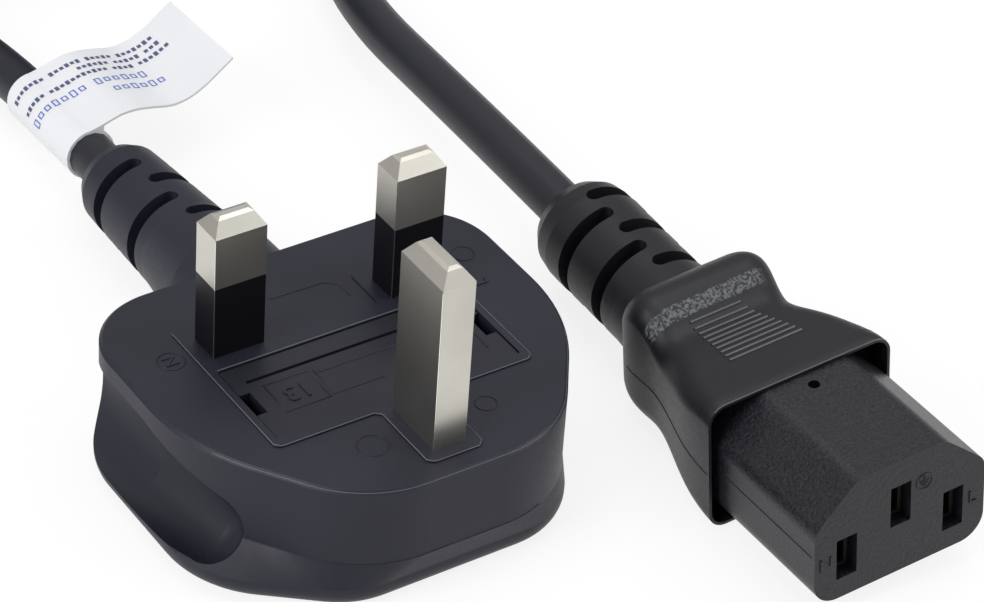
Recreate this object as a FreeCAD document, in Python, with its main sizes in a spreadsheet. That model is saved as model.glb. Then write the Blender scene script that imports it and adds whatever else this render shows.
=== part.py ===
import FreeCAD, Part
import math
import os
import Sketcher
from FreeCAD import Placement, Rotation, Vector

# UK three pin plug, moulded on its cord, with the appliance connector on the cord's other end.
# Millimetres, +Z up along the pins, +Y towards the cord. The plug lies on its back, and the
# origin is on the floor below the middle of the line and neutral pins.

SIZES = [
    ("body_height", 15.5, "plug body, from its back to the pin face"),
    ("body_half_width", 24.0, "half width of the pin face"),
    ("back_edge", 12.0, "back wall from the line and neutral pins"),
    ("side_end", 13.2, "corner where the side turns in"),
    ("front_half_width", 12.0, "corner where the front begins"),
    ("front_edge", 30.2, "front wall from the line and neutral pins"),
    ("back_corner_radius", 9.0, "back corners in plan"),
    ("side_radius", 24.4, "side corners in plan"),
    ("front_radius", 13.7, "front corners in plan"),
    ("skirt_left", 25.9, "skirt below the parting line, left side"),
    ("skirt_left_end", 18.8, "corner where the skirt's left side turns in"),
    ("skirt_left_front", 12.4, "corner where the skirt's front begins, left"),
    ("skirt_right", 25.0, "skirt's right side"),
    ("skirt_right_end", 10.5, "corner where the skirt's right side turns in"),
    ("skirt_right_front", 13.7, "corner where the skirt's front begins, right"),
    ("skirt_front", 29.4, "skirt's front"),
    ("skirt_back_radius", 12.0, "skirt's back corners in plan"),
    ("skirt_side_radius", 13.3, "skirt's side corners in plan"),
    ("skirt_front_radius", 10.4, "skirt's front corners in plan"),
    ("skirt_level", 3.0, "top of the skirt's upright edge"),
    ("parting_level", 5.8, "parting line, where the skirt meets the upright walls"),
    ("floor_edge_radius", 2.5, "rounding round the back face"),
    ("face_edge_bevel", 0.4, "bevel round the pin face"),
    ("grip_radius", 5.6, "finger grip"),
    ("grip_front_radius", 3.9, "finger grip's round front end"),
    ("relief_side", -0.95, "strain relief's axis at the back wall, across"),
    ("relief_turn", -0.6, "strain relief turned in plan, in degrees"),
    ("relief_level", 7.6, "strain relief's axis at the back wall"),
    ("relief_droop", 3.5, "strain relief's fall in degrees"),
    ("relief_length", 33.0, "strain relief from the back wall"),
    ("relief_root_radius", 7.1, "strain relief at the plug"),
    ("relief_neck_radius", 5.95, "strain relief behind its root"),
    ("relief_tip_radius", 5.4, "strain relief at its end"),
    ("relief_slot_width", 1.9, "slot along the strain relief"),
    ("relief_slot_pitch", 4.4, "step from slot to slot"),
    ("relief_slot_core", 3.6, "radius left inside the slots"),
    ("relief_slot_span", 118.0, "slot's angle round the strain relief"),
    ("relief_slot_lean", 115.0, "slot's middle, left of down"),
    ("relief_short_slot_span", 55.0, "short slot's angle round the strain relief"),
    ("relief_short_slot_lean", 28.0, "short slot's middle, left of down"),
    ("pin_spacing", 22.2, "line pin to neutral pin"),
    ("pin_width", 6.2, "line and neutral pins across"),
    ("pin_depth", 3.97, "line and neutral pins along"),
    ("pin_length", 17.3, "line and neutral pins above the face"),
    ("pin_root", 5.0, "foot of the line pin above the floor"),
    ("pin_tip_height", 1.7, "tapered tip"),
    ("pin_tip_width", 4.0, "flat on a tip, across"),
    ("pin_tip_depth", 1.3, "flat on a tip, along"),
    ("pin_tip_bevel", 0.3, "bevel round the flat on a tip"),
    ("sleeve_length", 9.2, "insulating sleeve above the face"),
    ("sleeve_wall", 0.7, "insulating sleeve's wall"),
    ("earth_distance", 22.23, "earth pin from the other two"),
    ("earth_width", 3.97, "earth pin across"),
    ("earth_depth", 7.92, "earth pin along"),
    ("earth_length", 22.3, "earth pin above the face"),
    ("earth_tip_width", 1.5, "flat on the earth pin's tip, across"),
    ("earth_tip_depth", 5.5, "flat on the earth pin's tip, along"),
    ("tail_level", 2.0, "lower end of the crimped tails"),
    ("bridge_bottom", 4.8, "underside of the pin bridge"),
    ("bridge_proud", 0.15, "pin bridge above the pin face"),
    ("bridge_half_width", 15.95, "pin bridge across, or more for a long fuse"),
    ("bridge_side_wall", 0.9, "pin bridge beside the fuse well, at least"),
    ("bridge_front", 18.1, "pin bridge's front edge"),
    ("bridge_back", 2.2, "pin bridge's back edge between the pins"),
    ("bridge_lobe_inner", 6.3, "inner side of the lobes round the pins"),
    ("bridge_lobe_back", 4.1, "back edge of the lobes round the pins"),
    ("bridge_earth_half_width", 3.4, "lobe round the earth pin, across"),
    ("bridge_earth_front", 27.8, "lobe round the earth pin, front edge"),
    ("bridge_corner_radius", 0.8, "corners of the pin bridge"),
    ("well_end_room", 2.35, "fuse well beyond each end of the fuse"),
    ("well_back", 4.1, "fuse well's back wall"),
    ("well_front", 16.8, "fuse well's front wall"),
    ("well_floor", 6.3, "fuse well's floor"),
    ("well_corner_radius", 0.4, "fuse well's upright corners"),
    ("fuse_length", 25.4, "cartridge fuse"),
    ("fuse_diameter", 6.35, "fuse cap outside"),
    ("fuse_cap_length", 5.6, "fuse cap along the fuse"),
    ("fuse_cap_wall", 0.4, "fuse cap's metal"),
    ("fuse_bore", 3.8, "bore of the ceramic tube"),
    ("fuse_wire_diameter", 0.5, "fuse wire"),
    ("clip_gap", 0.3, "room between a fuse cap and its clip"),
    ("clip_metal", 0.6, "clip's metal"),
    ("clip_length", 4.6, "clip along the fuse"),
    ("clip_rise", 1.6, "clip's walls above the fuse's axis"),
    ("clip_strap_width", 3.0, "strap from clip to pin or crimp"),
    ("clip_tab_offset", 5.2, "line tab from the middle"),
    ("carrier_gap", 0.15, "room round the fuse carrier"),
    ("carrier_plate", 1.9, "fuse carrier's face plate"),
    ("carrier_end_wall", 1.1, "walls at the carrier's ends"),
    ("carrier_wall_level", 9.2, "lower edge of the carrier's walls"),
    ("carrier_saddle_room", 1.1, "saddle from each fuse cap"),
    ("carrier_saddle_half_width", 4.9, "saddle across the fuse"),
    ("carrier_saddle_gap", 0.1, "room between fuse and saddle"),
    ("carrier_notch_length", 3.7, "prising notch along the end"),
    ("carrier_notch_depth", 1.3, "prising notch into the end"),
    ("carrier_notch_step", 0.0, "prising notch from the fuse's axis"),
    ("carrier_groove_inset", 2.5, "groove from the carrier's back edge"),
    ("carrier_groove_width", 0.45, "groove across"),
    ("carrier_groove_depth", 0.5, "groove into the plate"),
    ("carrier_groove_end", 1.8, "groove from the carrier's ends"),
    ("crimp_diameter", 2.6, "crimp barrel"),
    ("crimp_length", 4.5, "crimp barrel"),
    ("core_diameter", 1.8, "insulated core"),
    ("core_circle", 1.25, "cores from the cord's middle"),
    ("core_level", 3.4, "cores and crimps above the floor"),
    ("core_lead", 1.6, "core straight behind its crimp"),
    ("contact_lead", 6.0, "core straight behind its contact"),
    ("cord_diameter", 5.7, "round three-core cord"),
    ("coil_middle_x", 25.0, "coil's middle, across"),
    ("coil_middle_y", 132.5, "coil's middle, along"),
    ("coil_mean_radius", 34.0, "middle of the coil's turns"),
    ("coil_layers", 4, "turns on each other"),
    ("coil_columns", 2, "turns beside each other"),
    ("label_width", 15.5, "label along the cord"),
    ("label_thickness", 0.3, "two layers of label stock"),
    ("label_start", 5.5, "label from the strain relief's end"),
    ("connector_x", 38.95, "connector's face, across"),
    ("connector_y", 53.7, "connector's face, before the origin"),
    ("connector_level", 8.1, "contacts' line above the floor"),
    ("connector_yaw", -1.6, "connector turned in plan, in degrees"),
    ("connector_pitch", -2.5, "connector's back end lowered, in degrees"),
    ("connector_roll", -5.2, "connector's line side raised, in degrees"),
    ("nose_half_width", 10.95, "connector's nose"),
    ("nose_below", 5.3, "nose below the contacts' line"),
    ("nose_above", 9.8, "nose above the contacts' line"),
    ("nose_shoulder", 4.8, "where the nose's chamfers begin"),
    ("nose_top_half_width", 5.6, "flat top of the nose"),
    ("nose_length", 17.3, "nose in front of the hood"),
    ("nose_seat", 4.7, "insert's length behind the hood's edge"),
    ("nose_lower_radius", 3.0, "nose's lower corners"),
    ("nose_upper_radius", 2.6, "nose's upper corners"),
    ("contact_spacing", 13.7, "line contact to neutral contact"),
    ("contact_earth_rise", 3.8, "earth contact above the others"),
    ("slot_width", 2.6, "contact slot across"),
    ("slot_height", 5.3, "contact slot upright"),
    ("slot_depth", 16.0, "contact slot into the nose"),
    ("contact_inset", 1.5, "contact behind the nose's face"),
    ("contact_gap", 0.15, "room round a contact in its slot"),
    ("contact_metal", 0.5, "contact's metal"),
    ("hood_wall", 0.35, "hood round the nose"),
    ("hood_depth", 3.4, "hollow between hood and nose"),
    ("connector_relief_start", 40.0, "connector's strain relief from the face"),
    ("connector_relief_end", 64.0, "connector's strain relief from the face"),
    ("connector_relief_level", 1.05, "strain relief above the contacts' line"),
    ("connector_relief_rise", 3.5, "strain relief's rise in degrees"),
    ("connector_relief_radius", 6.4, "connector's strain relief"),
    ("connector_slot_pitch", 3.4, "step from slot to slot on the connector"),
]

# Cord routes: points chosen by hand along the floor, each end at its strain relief or at the coil.
PLUG_CORD_ROUTE = [(0.6, 70.5, 3.1), (-1.5, 85.0, 3.0), (-6.6, 101.0, 3.0), (-11.2, 117.5, 3.0)]
CONNECTOR_CORD_ROUTE = [
    (42.5, 42.5, 6.5), (44.6, 61.5, 4.3), (49.0, 76.0, 3.4), (57.0, 91.0, 5.6),
    (63.0, 106.5, 11.0), (63.4, 119.0, 15.6)]
FIRST_RUN = 12.0

# Finger grip's axis on the +X side, from the back to its front end.
GRIP_AXIS = [(26.9, 13.0, 8.3), (26.3, -4.0, 7.9), (23.0, -16.2, 6.6)]

# Label's flag: distance from the cord's axis, and height of its middle above the cord's top.
FLAG_LINE = [
    (0.0, 0.15), (1.5, 0.5), (3.0, 0.95), (4.5, 1.3), (6.5, 1.3), (8.5, 0.95), (11.0, 0.45),
    (13.2, 0.7), (15.3, 1.6), (17.4, 3.0), (19.4, 4.4)]
FLAG_JOIN = 3
WRAP_LEAVES_AT = -30.0
ARC_SHARE = 0.45
MITRED = 1
WELL_HALF = "(sizes.fuse_length/2 + sizes.well_end_room)"

# Where each core in the plug turns to its crimp: across, from the back wall, above the crimps.
CORE_BENDS = {"line_core": (-5.2, -5.0, 0.6), "neutral_core": (-7.4, -1.8, 1.2),
              "earth_core": (0.9, -7.0, 0.5)}

# Connector overmould, front to back: distance from the face, middle, half width, lower side,
# upper side and corner radius, each from the contacts' line.
OVERMOULD_SECTIONS = [
    (17.3, -0.6, 11.8, -6.2, 10.2, 2.2),
    (20.5, -0.6, 11.6, -6.2, 10.1, 2.6),
    (24.5, -0.6, 10.8, -6.0, 9.6, 3.0),
    (28.0, -0.8, 9.6, -5.6, 9.2, 3.2),
    (30.8, -0.9, 8.8, -5.2, 9.0, 3.2),
    (33.0, -0.8, 8.6, -5.0, 9.9, 3.0),
    (35.4, -0.65, 8.8, -5.0, 11.1, 3.0),
    (38.4, -0.5, 8.7, -4.8, 10.6, 3.2),
    (40.5, -0.3, 7.6, -4.2, 8.6, 3.8),
]

doc = FreeCAD.newDocument("plug")
sheet = doc.addObject("Spreadsheet::Sheet", "sizes")
for row, (alias, number, note) in enumerate(SIZES, 1):
    sheet.set(f"A{row}", alias)
    sheet.set(f"B{row}", str(number))
    sheet.set(f"C{row}", note)
    sheet.setAlias(f"B{row}", alias)
doc.recompute()


def size(alias):
    """A driving dimension as a plain number."""
    return float(getattr(sheet, alias))


def plane(body, role):
    """One of a body's own origin planes."""
    return next(item for item in body.Origin.OriginFeatures if item.Role == role)


def attach(body, role, name, lift="0"):
    """An empty sketch on an origin plane, moved along the plane's normal by an expression."""
    sketch = body.newObject("Sketcher::SketchObject", name)
    sketch.AttachmentSupport = [(plane(body, role), "")]
    sketch.MapMode = "FlatFace"
    sketch.setExpression("AttachmentOffset.Base.z", lift)
    return sketch


def number_of(sketch, expression):
    """An expression's value now, to draw geometry where its constraints will hold it."""
    result = sketch.evalExpression(expression)
    return float(getattr(result, "Value", result))


def bind(sketch, kind, geometry, point, expression):
    """Hold a point's distance from the sketch's origin at an expression."""
    here = number_of(sketch, expression)
    index = sketch.addConstraint(Sketcher.Constraint(kind, -1, 1, geometry, point, here))
    sketch.setExpression(f"Constraints[{index}]", expression)


def loop(sketch, corners):
    """Add a closed loop of straight edges whose corners are pairs of expressions."""
    spots = [Vector(number_of(sketch, x), number_of(sketch, y), 0) for x, y in corners]
    first = sketch.GeometryCount
    count = len(spots)
    for i, spot in enumerate(spots):
        sketch.addGeometry(Part.LineSegment(spot, spots[(i + 1) % count]), False)
    for i in range(count):
        follower = first + (i + 1) % count
        sketch.addConstraint(Sketcher.Constraint("Coincident", first + i, 2, follower, 1))
    for i, (x, y) in enumerate(corners):
        bind(sketch, "DistanceX", first + i, 1, x)
        bind(sketch, "DistanceY", first + i, 1, y)


def box_corners(left, right, low, high):
    """Corners of an upright rectangle from four expressions."""
    return [(left, low), (right, low), (right, high), (left, high)]


def circle(sketch, x, y, radius):
    """Add a circle at a pair of expressions."""
    centre = Vector(number_of(sketch, x), number_of(sketch, y), 0)
    index = sketch.addGeometry(Part.Circle(centre, Vector(0, 0, 1), number_of(sketch, radius)), False)
    bind(sketch, "DistanceX", index, 3, x)
    bind(sketch, "DistanceY", index, 3, y)
    held = sketch.addConstraint(Sketcher.Constraint("Radius", index, number_of(sketch, radius)))
    sketch.setExpression(f"Constraints[{held}]", radius)


def new_body(name):
    """A body whose label names its node."""
    body = doc.addObject("PartDesign::Body", name)
    body.Label = name
    return body


def pad(body, sketch, length, name, reverse=False, midplane=False):
    """Pad a sketch by an expression."""
    feature = body.newObject("PartDesign::Pad", name)
    feature.Profile = sketch
    feature.setExpression("Length", length)
    feature.Reversed = reverse
    feature.Midplane = midplane
    doc.recompute()
    return feature


def pocket(body, sketch, length, name, reverse=False, midplane=False):
    """Pocket a sketch by an expression and make sure that it cuts."""
    before = body.Shape.Volume
    feature = body.newObject("PartDesign::Pocket", name)
    feature.Profile = sketch
    feature.setExpression("Length", length)
    feature.Reversed = reverse
    feature.Midplane = midplane
    doc.recompute()
    if body.Shape.Volume >= before - 1e-6:
        raise RuntimeError(f"{name} cuts nothing")
    return feature


def edge_names(shape, wanted):
    """Names of the edges whose middle and direction satisfy a test."""
    names = []
    for index, edge in enumerate(shape.Edges, 1):
        middle = edge.valueAt((edge.FirstParameter + edge.LastParameter) / 2)
        run = edge.lastVertex().Point - edge.firstVertex().Point
        if wanted(middle, run):
            names.append(f"Edge{index}")
    return names


def round_edges(body, wanted, radius, name):
    """Fillet the edges that satisfy a test."""
    base = body.Tip
    feature = body.newObject("PartDesign::Fillet", name)
    feature.Base = (base, edge_names(base.Shape, wanted))
    feature.setExpression("Radius", radius)
    doc.recompute()
    return feature


def upright(run):
    """True for an edge along Z."""
    return abs(run.z) > 0.99 * run.Length > 0


def cut(name, base, tools):
    """A piece with the shapes that sit in it taken out one after another."""
    for step, tool in enumerate(tools, 1):
        feature = doc.addObject("Part::Cut", f"{name}_{step}")
        feature.Base = base
        feature.Tool = tool
        feature.Refine = False
        base = feature
    base.Label = name
    doc.recompute()
    return base


def carve(name, base, tools):
    """Like cut, for a lofted piece that a Part::Cut leaves invalid."""
    shape = base.Shape
    for tool in tools:
        shape = shape.cut(tool.Shape)
    feature = doc.addObject("Part::Feature", name)
    feature.Label = name
    feature.Shape = shape
    return feature


def fuse(name, pieces):
    """One piece made of overlapping forms."""
    feature = doc.addObject("Part::MultiFuse", name)
    feature.Label = name
    feature.Shapes = pieces
    feature.Refine = False
    doc.recompute()
    return feature


def rounded_path(points):
    """Straight runs joined by the largest tangent arcs, with the arcs' radii."""
    edges = []
    radii = []
    last = points[0]
    for before, corner, after in zip(points, points[1:], points[2:]):
        back = before - corner
        onward = after - corner
        turn = math.pi - back.getAngle(onward)
        reach = ARC_SHARE * min(back.Length, onward.Length)
        radius = reach / math.tan(turn / 2)
        radii.append(radius)
        back.normalize()
        onward.normalize()
        middle = (back + onward).normalize()
        start = corner + back * reach
        end = corner + onward * reach
        bend = corner + middle * (radius / math.cos(turn / 2) - radius)
        edges.append(Part.LineSegment(last, start).toShape())
        edges.append(Part.Arc(start, bend, end).toShape())
        last = end
    edges.append(Part.LineSegment(last, points[-1]).toShape())
    return Part.Wire(edges), radii


def tube(name, points, diameter):
    """A round tube along a route of straight runs and arcs."""
    path, radii = rounded_path(points)
    heading = points[1] - points[0]
    ring = Part.Wire(Part.makeCircle(diameter / 2, points[0], heading))
    feature = doc.addObject("Part::Feature", name)
    feature.Label = name
    feature.Shape = path.makePipeShell([ring], True, False)
    expected = math.pi * diameter ** 2 / 4 * path.Length
    print(name, "length %.1f" % path.Length, "radii", [round(r, 1) for r in radii],
          "volume share %.4f" % (feature.Shape.Volume / expected))
    return feature


def wire_core(name, points):
    """An insulated core along straight runs, mitred where they meet."""
    diameter = size("core_diameter")
    ring = Part.Wire(Part.makeCircle(diameter / 2, points[0], points[1] - points[0]))
    path = Part.makePolygon(points)
    feature = doc.addObject("Part::Feature", name)
    feature.Label = name
    feature.Shape = path.makePipeShell([ring], True, False, MITRED)
    return feature


def rounded_outline(corners, radii, level):
    """Level outline of straight edges joined by tangent arcs."""
    count = len(corners)
    arcs = []
    for index, corner in enumerate(corners):
        back = (corners[index - 1] - corner).normalize()
        onward = (corners[(index + 1) % count] - corner).normalize()
        inward = (back + onward).normalize()
        half = back.getAngle(onward) / 2
        reach = radii[index] / math.tan(half)
        bend = corner + inward * (radii[index] / math.sin(half) - radii[index])
        arcs.append((corner + back * reach, bend, corner + onward * reach))
    edges = []
    for index, (start, bend, end) in enumerate(arcs):
        edges.append(Part.Arc(start, bend, end).toShape())
        edges.append(Part.LineSegment(end, arcs[(index + 1) % count][0]).toShape())
    outline = Part.Wire(edges)
    outline.translate(Vector(0, 0, level))
    return outline


def face_outline(level):
    """Plan of the upright walls."""
    back = size("back_edge")
    side = size("body_half_width")
    side_end = -size("side_end")
    front = -size("front_edge")
    half = size("front_half_width")
    corners = [Vector(-side, back, 0), Vector(-side, side_end, 0), Vector(-half, front, 0),
               Vector(half, front, 0), Vector(side, side_end, 0), Vector(side, back, 0)]
    radii = [size("back_corner_radius"), size("side_radius"), size("front_radius")]
    return rounded_outline(corners, radii + radii[::-1], level)


def skirt_outline(level):
    """Plan of the skirt, which the photograph shows wider on the left than on the right."""
    back = size("back_edge")
    front = -size("skirt_front")
    corners = [Vector(-size("skirt_left"), back, 0),
               Vector(-size("skirt_left"), -size("skirt_left_end"), 0),
               Vector(-size("skirt_left_front"), front, 0),
               Vector(size("skirt_right_front"), front, 0),
               Vector(size("skirt_right"), -size("skirt_right_end"), 0),
               Vector(size("skirt_right"), back, 0)]
    radii = [size("skirt_back_radius"), size("skirt_side_radius"), size("skirt_front_radius")]
    return rounded_outline(corners, radii + radii[::-1], level)


def plug_mould():
    """Outside of the plug body: skirt, slant up to the parting line and upright walls."""
    outlines = [skirt_outline(0), skirt_outline(size("skirt_level")),
                face_outline(size("parting_level")), face_outline(size("body_height"))]
    feature = doc.addObject("Part::Feature", "plug_mould")
    feature.Shape = Part.makeLoft(outlines, True, True)
    return feature


def finger_grip(side):
    """Groove along one side, with a narrower round end at the front."""
    back, knee, front = [Vector(side * x, y, z) for x, y, z in GRIP_AXIS]
    wide = size("grip_radius")
    narrow = size("grip_front_radius")
    groove = Part.makeCylinder(wide, (back - knee).Length, knee, back - knee)
    taper = Part.makeCone(narrow, wide, (knee - front).Length, front, knee - front)
    feature = doc.addObject("Part::Feature", "finger_grip")
    feature.Shape = groove.multiFuse([taper, Part.makeSphere(wide, knee),
                                      Part.makeSphere(narrow, front)])
    return feature


def relief_profile(body, outline, name):
    """Turned strain relief: half section from pairs of expressions along and from its axis."""
    sketch = attach(body, "YZ_Plane", name)
    loop(sketch, outline)
    feature = body.newObject("PartDesign::Revolution", name + "_turned")
    feature.Profile = sketch
    feature.ReferenceAxis = (sketch, ["H_Axis"])
    feature.Angle = 360
    doc.recompute()
    return feature


def relief_slots(name, stations, first_kind, placement):
    """Slots in opposite pairs, long pairs (kind 0) and short pairs (kind 1) by turns."""
    width = size("relief_slot_width")
    kinds = [(size("relief_slot_lean"), size("relief_slot_span")),
             (size("relief_short_slot_lean"), size("relief_short_slot_span"))]
    core = size("relief_slot_core")
    reach = size("relief_root_radius") + 3
    cutters = []
    for index, station in enumerate(stations):
        lean, span = kinds[(first_kind + index) % 2]
        for half_turn in (0, 180):
            start = lean + half_turn - span / 2
            ring = Part.makeCylinder(reach, width, Vector(0, station - width / 2, 0),
                                     Vector(0, 1, 0), span)
            ring.rotate(Vector(0, station, 0), Vector(0, 1, 0), start)
            cutters.append(ring)
            for edge in (start, start + span):
                end = Part.makeCylinder(width / 2, reach, Vector(0, station, 0), Vector(0, 0, 1))
                end.rotate(Vector(0, station, 0), Vector(0, 1, 0), edge)
                cutters.append(end)
    slots = cutters[0].multiFuse(cutters[1:])
    kept = Part.makeCylinder(core, stations[0] + reach, Vector(0, -1, 0), Vector(0, 1, 0))
    feature = doc.addObject("Part::Feature", name)
    feature.Shape = slots.cut(kept)
    feature.Placement = placement
    return feature


def relief_placement():
    """The strain relief's own axis, from the back wall down towards the floor."""
    turn = Rotation(Vector(0, 0, 1), size("relief_turn"))
    return Placement(Vector(size("relief_side"), size("back_edge"), size("relief_level")),
                     turn * Rotation(Vector(1, 0, 0), -size("relief_droop")))


def plug_relief():
    """Tapered strain relief with its rounded end."""
    body = new_body("plug_relief")
    length = "sizes.relief_length"
    relief_profile(body, [
        ("-6", "0"),
        (length, "0"),
        (length, "sizes.relief_tip_radius - 1.9"),
        (f"{length} - 0.7", "sizes.relief_tip_radius - 0.9"),
        (f"{length} - 2.4", "sizes.relief_tip_radius - 0.15"),
        (f"{length} - 5", "sizes.relief_tip_radius"),
        (f"{length} * 0.46", "sizes.relief_neck_radius"),
        (f"{length} * 0.33", "sizes.relief_root_radius - 0.6"),
        (f"{length} * 0.2", "sizes.relief_root_radius"),
        ("-6", "sizes.relief_root_radius")], "relief_section")
    body.Placement = relief_placement()
    return body


def pin_body(name, x, y, width, depth, length, root, tip_width, tip_depth, neck):
    """A flat pin with a tapered tip, and a thinner neck where a sleeve goes round it."""
    body = new_body(name)
    wall = "sizes.sleeve_wall" if neck else "0"
    foot = attach(body, "XY_Plane", name + "_foot", root)
    loop(foot, box_corners(f"-({width})/2 + {wall}", f"({width})/2 - {wall}",
                           f"-({depth})/2 + {wall}", f"({depth})/2 - {wall}"))
    rise = f"sizes.body_height + {neck} - ({root})" if neck else f"sizes.body_height - ({root})"
    pad(body, foot, rise, name + "_neck")
    start = f"sizes.body_height + {neck}" if neck else "sizes.body_height"
    blade = attach(body, "XY_Plane", name + "_section", start)
    loop(blade, box_corners(f"-({width})/2", f"({width})/2", f"-({depth})/2", f"({depth})/2"))
    straight = f"{length} - sizes.pin_tip_height" + (f" - {neck}" if neck else "")
    pad(body, blade, straight, name + "_blade")
    base = f"sizes.body_height + {length} - sizes.pin_tip_height"
    lower = attach(body, "XY_Plane", name + "_tip_base", base)
    loop(lower, box_corners(f"-({width})/2", f"({width})/2", f"-({depth})/2", f"({depth})/2"))
    upper = attach(body, "XY_Plane", name + "_tip_flat", f"sizes.body_height + {length}")
    loop(upper, box_corners(f"-({tip_width})/2", f"({tip_width})/2",
                            f"-({tip_depth})/2", f"({tip_depth})/2"))
    tip = body.newObject("PartDesign::AdditiveLoft", name + "_tip")
    tip.Profile = lower
    tip.Sections = [upper]
    tip.Ruled = True
    doc.recompute()
    top = body.Shape.BoundBox.ZMax
    edges = edge_names(body.Shape, lambda middle, run: middle.z > top - 0.01)
    base = body.Tip
    bevel = body.newObject("PartDesign::Chamfer", name + "_tip_edges")
    bevel.Base = (base, edges)
    bevel.setExpression("Size", "sizes.pin_tip_bevel")
    body.Placement = Placement(Vector(x, y, 0), Rotation())
    doc.recompute()
    return body


def sleeve(name, x):
    """Insulating sleeve, flush with the pin above it."""
    body = new_body(name)
    sketch = attach(body, "XY_Plane", name + "_section", "sizes.body_height + sizes.bridge_proud")
    half_width = "sizes.pin_width/2"
    half_depth = "sizes.pin_depth/2"
    wall = "sizes.sleeve_wall"
    loop(sketch, box_corners(f"-{half_width}", half_width, f"-{half_depth}", half_depth))
    loop(sketch, box_corners(f"-{half_width} + {wall}", f"{half_width} - {wall}",
                             f"-{half_depth} + {wall}", f"{half_depth} - {wall}"))
    pad(body, sketch, "sizes.sleeve_length - sizes.bridge_proud", name + "_wall")
    body.Placement = Placement(Vector(x, 0, 0), Rotation())
    return body


def bridge_sketch(body, name, lift):
    """Plan of the pin bridge: frame round the fuse well and a lobe round each pin."""
    wide = f"max(sizes.bridge_half_width; {WELL_HALF} + sizes.bridge_side_wall)"
    inner = "sizes.bridge_lobe_inner"
    lobe = "sizes.bridge_lobe_back"
    back = "-sizes.bridge_back"
    front = "-sizes.bridge_front"
    narrow = "sizes.bridge_earth_half_width"
    tip = "-sizes.bridge_earth_front"
    sketch = attach(body, "XY_Plane", name, lift)
    loop(sketch, [(f"-{wide}", lobe), (f"-{wide}", front), (f"-{narrow}", front),
                  (f"-{narrow}", tip), (narrow, tip), (narrow, front), (wide, front),
                  (wide, lobe), (inner, lobe), (inner, back), (f"-{inner}", back),
                  (f"-{inner}", lobe)])
    return sketch


def bridge_blank():
    """The pin bridge before the pins, the clips and the well are cut."""
    body = new_body("bridge_blank")
    plan = bridge_sketch(body, "bridge_outline", "sizes.bridge_bottom")
    pad(body, plan, "sizes.body_height + sizes.bridge_proud - sizes.bridge_bottom", "bridge")
    round_edges(body, lambda middle, run: upright(run), "sizes.bridge_corner_radius",
                "bridge_corners")
    return body


def fuse_well():
    """Room for the fuse carrier, open towards the pins."""
    body = new_body("fuse_well")
    plan = attach(body, "XY_Plane", "well_outline", "sizes.well_floor")
    loop(plan, box_corners(f"-{WELL_HALF}", WELL_HALF, "-sizes.well_front",
                           "-sizes.well_back"))
    pad(body, plan, "sizes.body_height + 1 - sizes.well_floor", "well")
    round_edges(body, lambda middle, run: upright(run), "sizes.well_corner_radius",
                "well_corners")
    return body


def fuse_axis():
    """Middle of the fuse: centred in the well and seated in its clips."""
    y = -(size("well_front") + size("well_back")) / 2
    z = size("well_floor") + size("clip_metal") + size("clip_gap") + size("fuse_diameter") / 2
    return Vector(0, y, z)


def fuse_clip(name, side):
    """Spring clip, open upwards, on the well's floor."""
    body = new_body(name)
    inner = "(sizes.fuse_diameter/2 + sizes.clip_gap)"
    outer = f"({inner} + sizes.clip_metal)"
    sketch = attach(body, "YZ_Plane", name + "_section")
    loop(sketch, [
        (f"-{outer}", f"-{outer}"), (outer, f"-{outer}"), (outer, "sizes.clip_rise"),
        (inner, "sizes.clip_rise"), (inner, f"-{inner}"), (f"-{inner}", f"-{inner}"),
        (f"-{inner}", "sizes.clip_rise"), (f"-{outer}", "sizes.clip_rise")])
    pad(body, sketch, "sizes.clip_length", name + "_spring", midplane=True)
    middle = fuse_axis()
    reach = (size("fuse_length") - size("fuse_cap_length")) / 2
    body.Placement = Placement(Vector(side * reach, middle.y, middle.z), Rotation())
    return body


def strap(name, left, right, near, far, low, high):
    """A flat bar between two corners."""
    bar = doc.addObject("Part::Box", name)
    bar.Length = right - left
    bar.Width = far - near
    bar.Height = high - low
    bar.Placement = Placement(Vector(left, near, low), Rotation())
    return bar


def clips():
    """Both fuse clips, with the strap to the line pin and the tab to the line crimp."""
    floor = size("well_floor")
    metal = size("clip_metal")
    width = size("clip_strap_width")
    middle = fuse_axis()
    edge = middle.y + size("fuse_diameter") / 2
    pin = size("pin_spacing") / 2
    pin_face = -size("pin_depth") / 2 + size("sleeve_wall")
    to_pin = strap("clip_strap", pin - width / 2, pin + width / 2, edge, pin_face,
                   floor, floor + metal)
    pin_clip = fuse("fuse_clip_pin_side", [fuse_clip("spring_pin_side", 1), to_pin])
    tab = -size("clip_tab_offset")
    cap = (size("fuse_length") - size("fuse_cap_length")) / 2
    bar = strap("clip_bar", -cap, tab + width / 2, middle.y - width / 2, middle.y + width / 2,
                floor, floor + metal)
    leg = strap("clip_leg", tab - width / 2, tab + width / 2, middle.y + width / 2 - metal,
                middle.y + width / 2, size("tail_level"), floor + metal)
    cord_clip = fuse("fuse_clip_cord_side", [fuse_clip("spring_cord_side", -1), bar, leg])
    return pin_clip, cord_clip


def turned(name, outline, placement):
    """A piece turned about the X axis from a half section."""
    body = new_body(name)
    sketch = attach(body, "XZ_Plane", name + "_section")
    loop(sketch, outline)
    feature = body.newObject("PartDesign::Revolution", name + "_turned")
    feature.Profile = sketch
    feature.ReferenceAxis = (sketch, ["H_Axis"])
    feature.Angle = 360
    doc.recompute()
    body.Placement = placement
    return body


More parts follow.
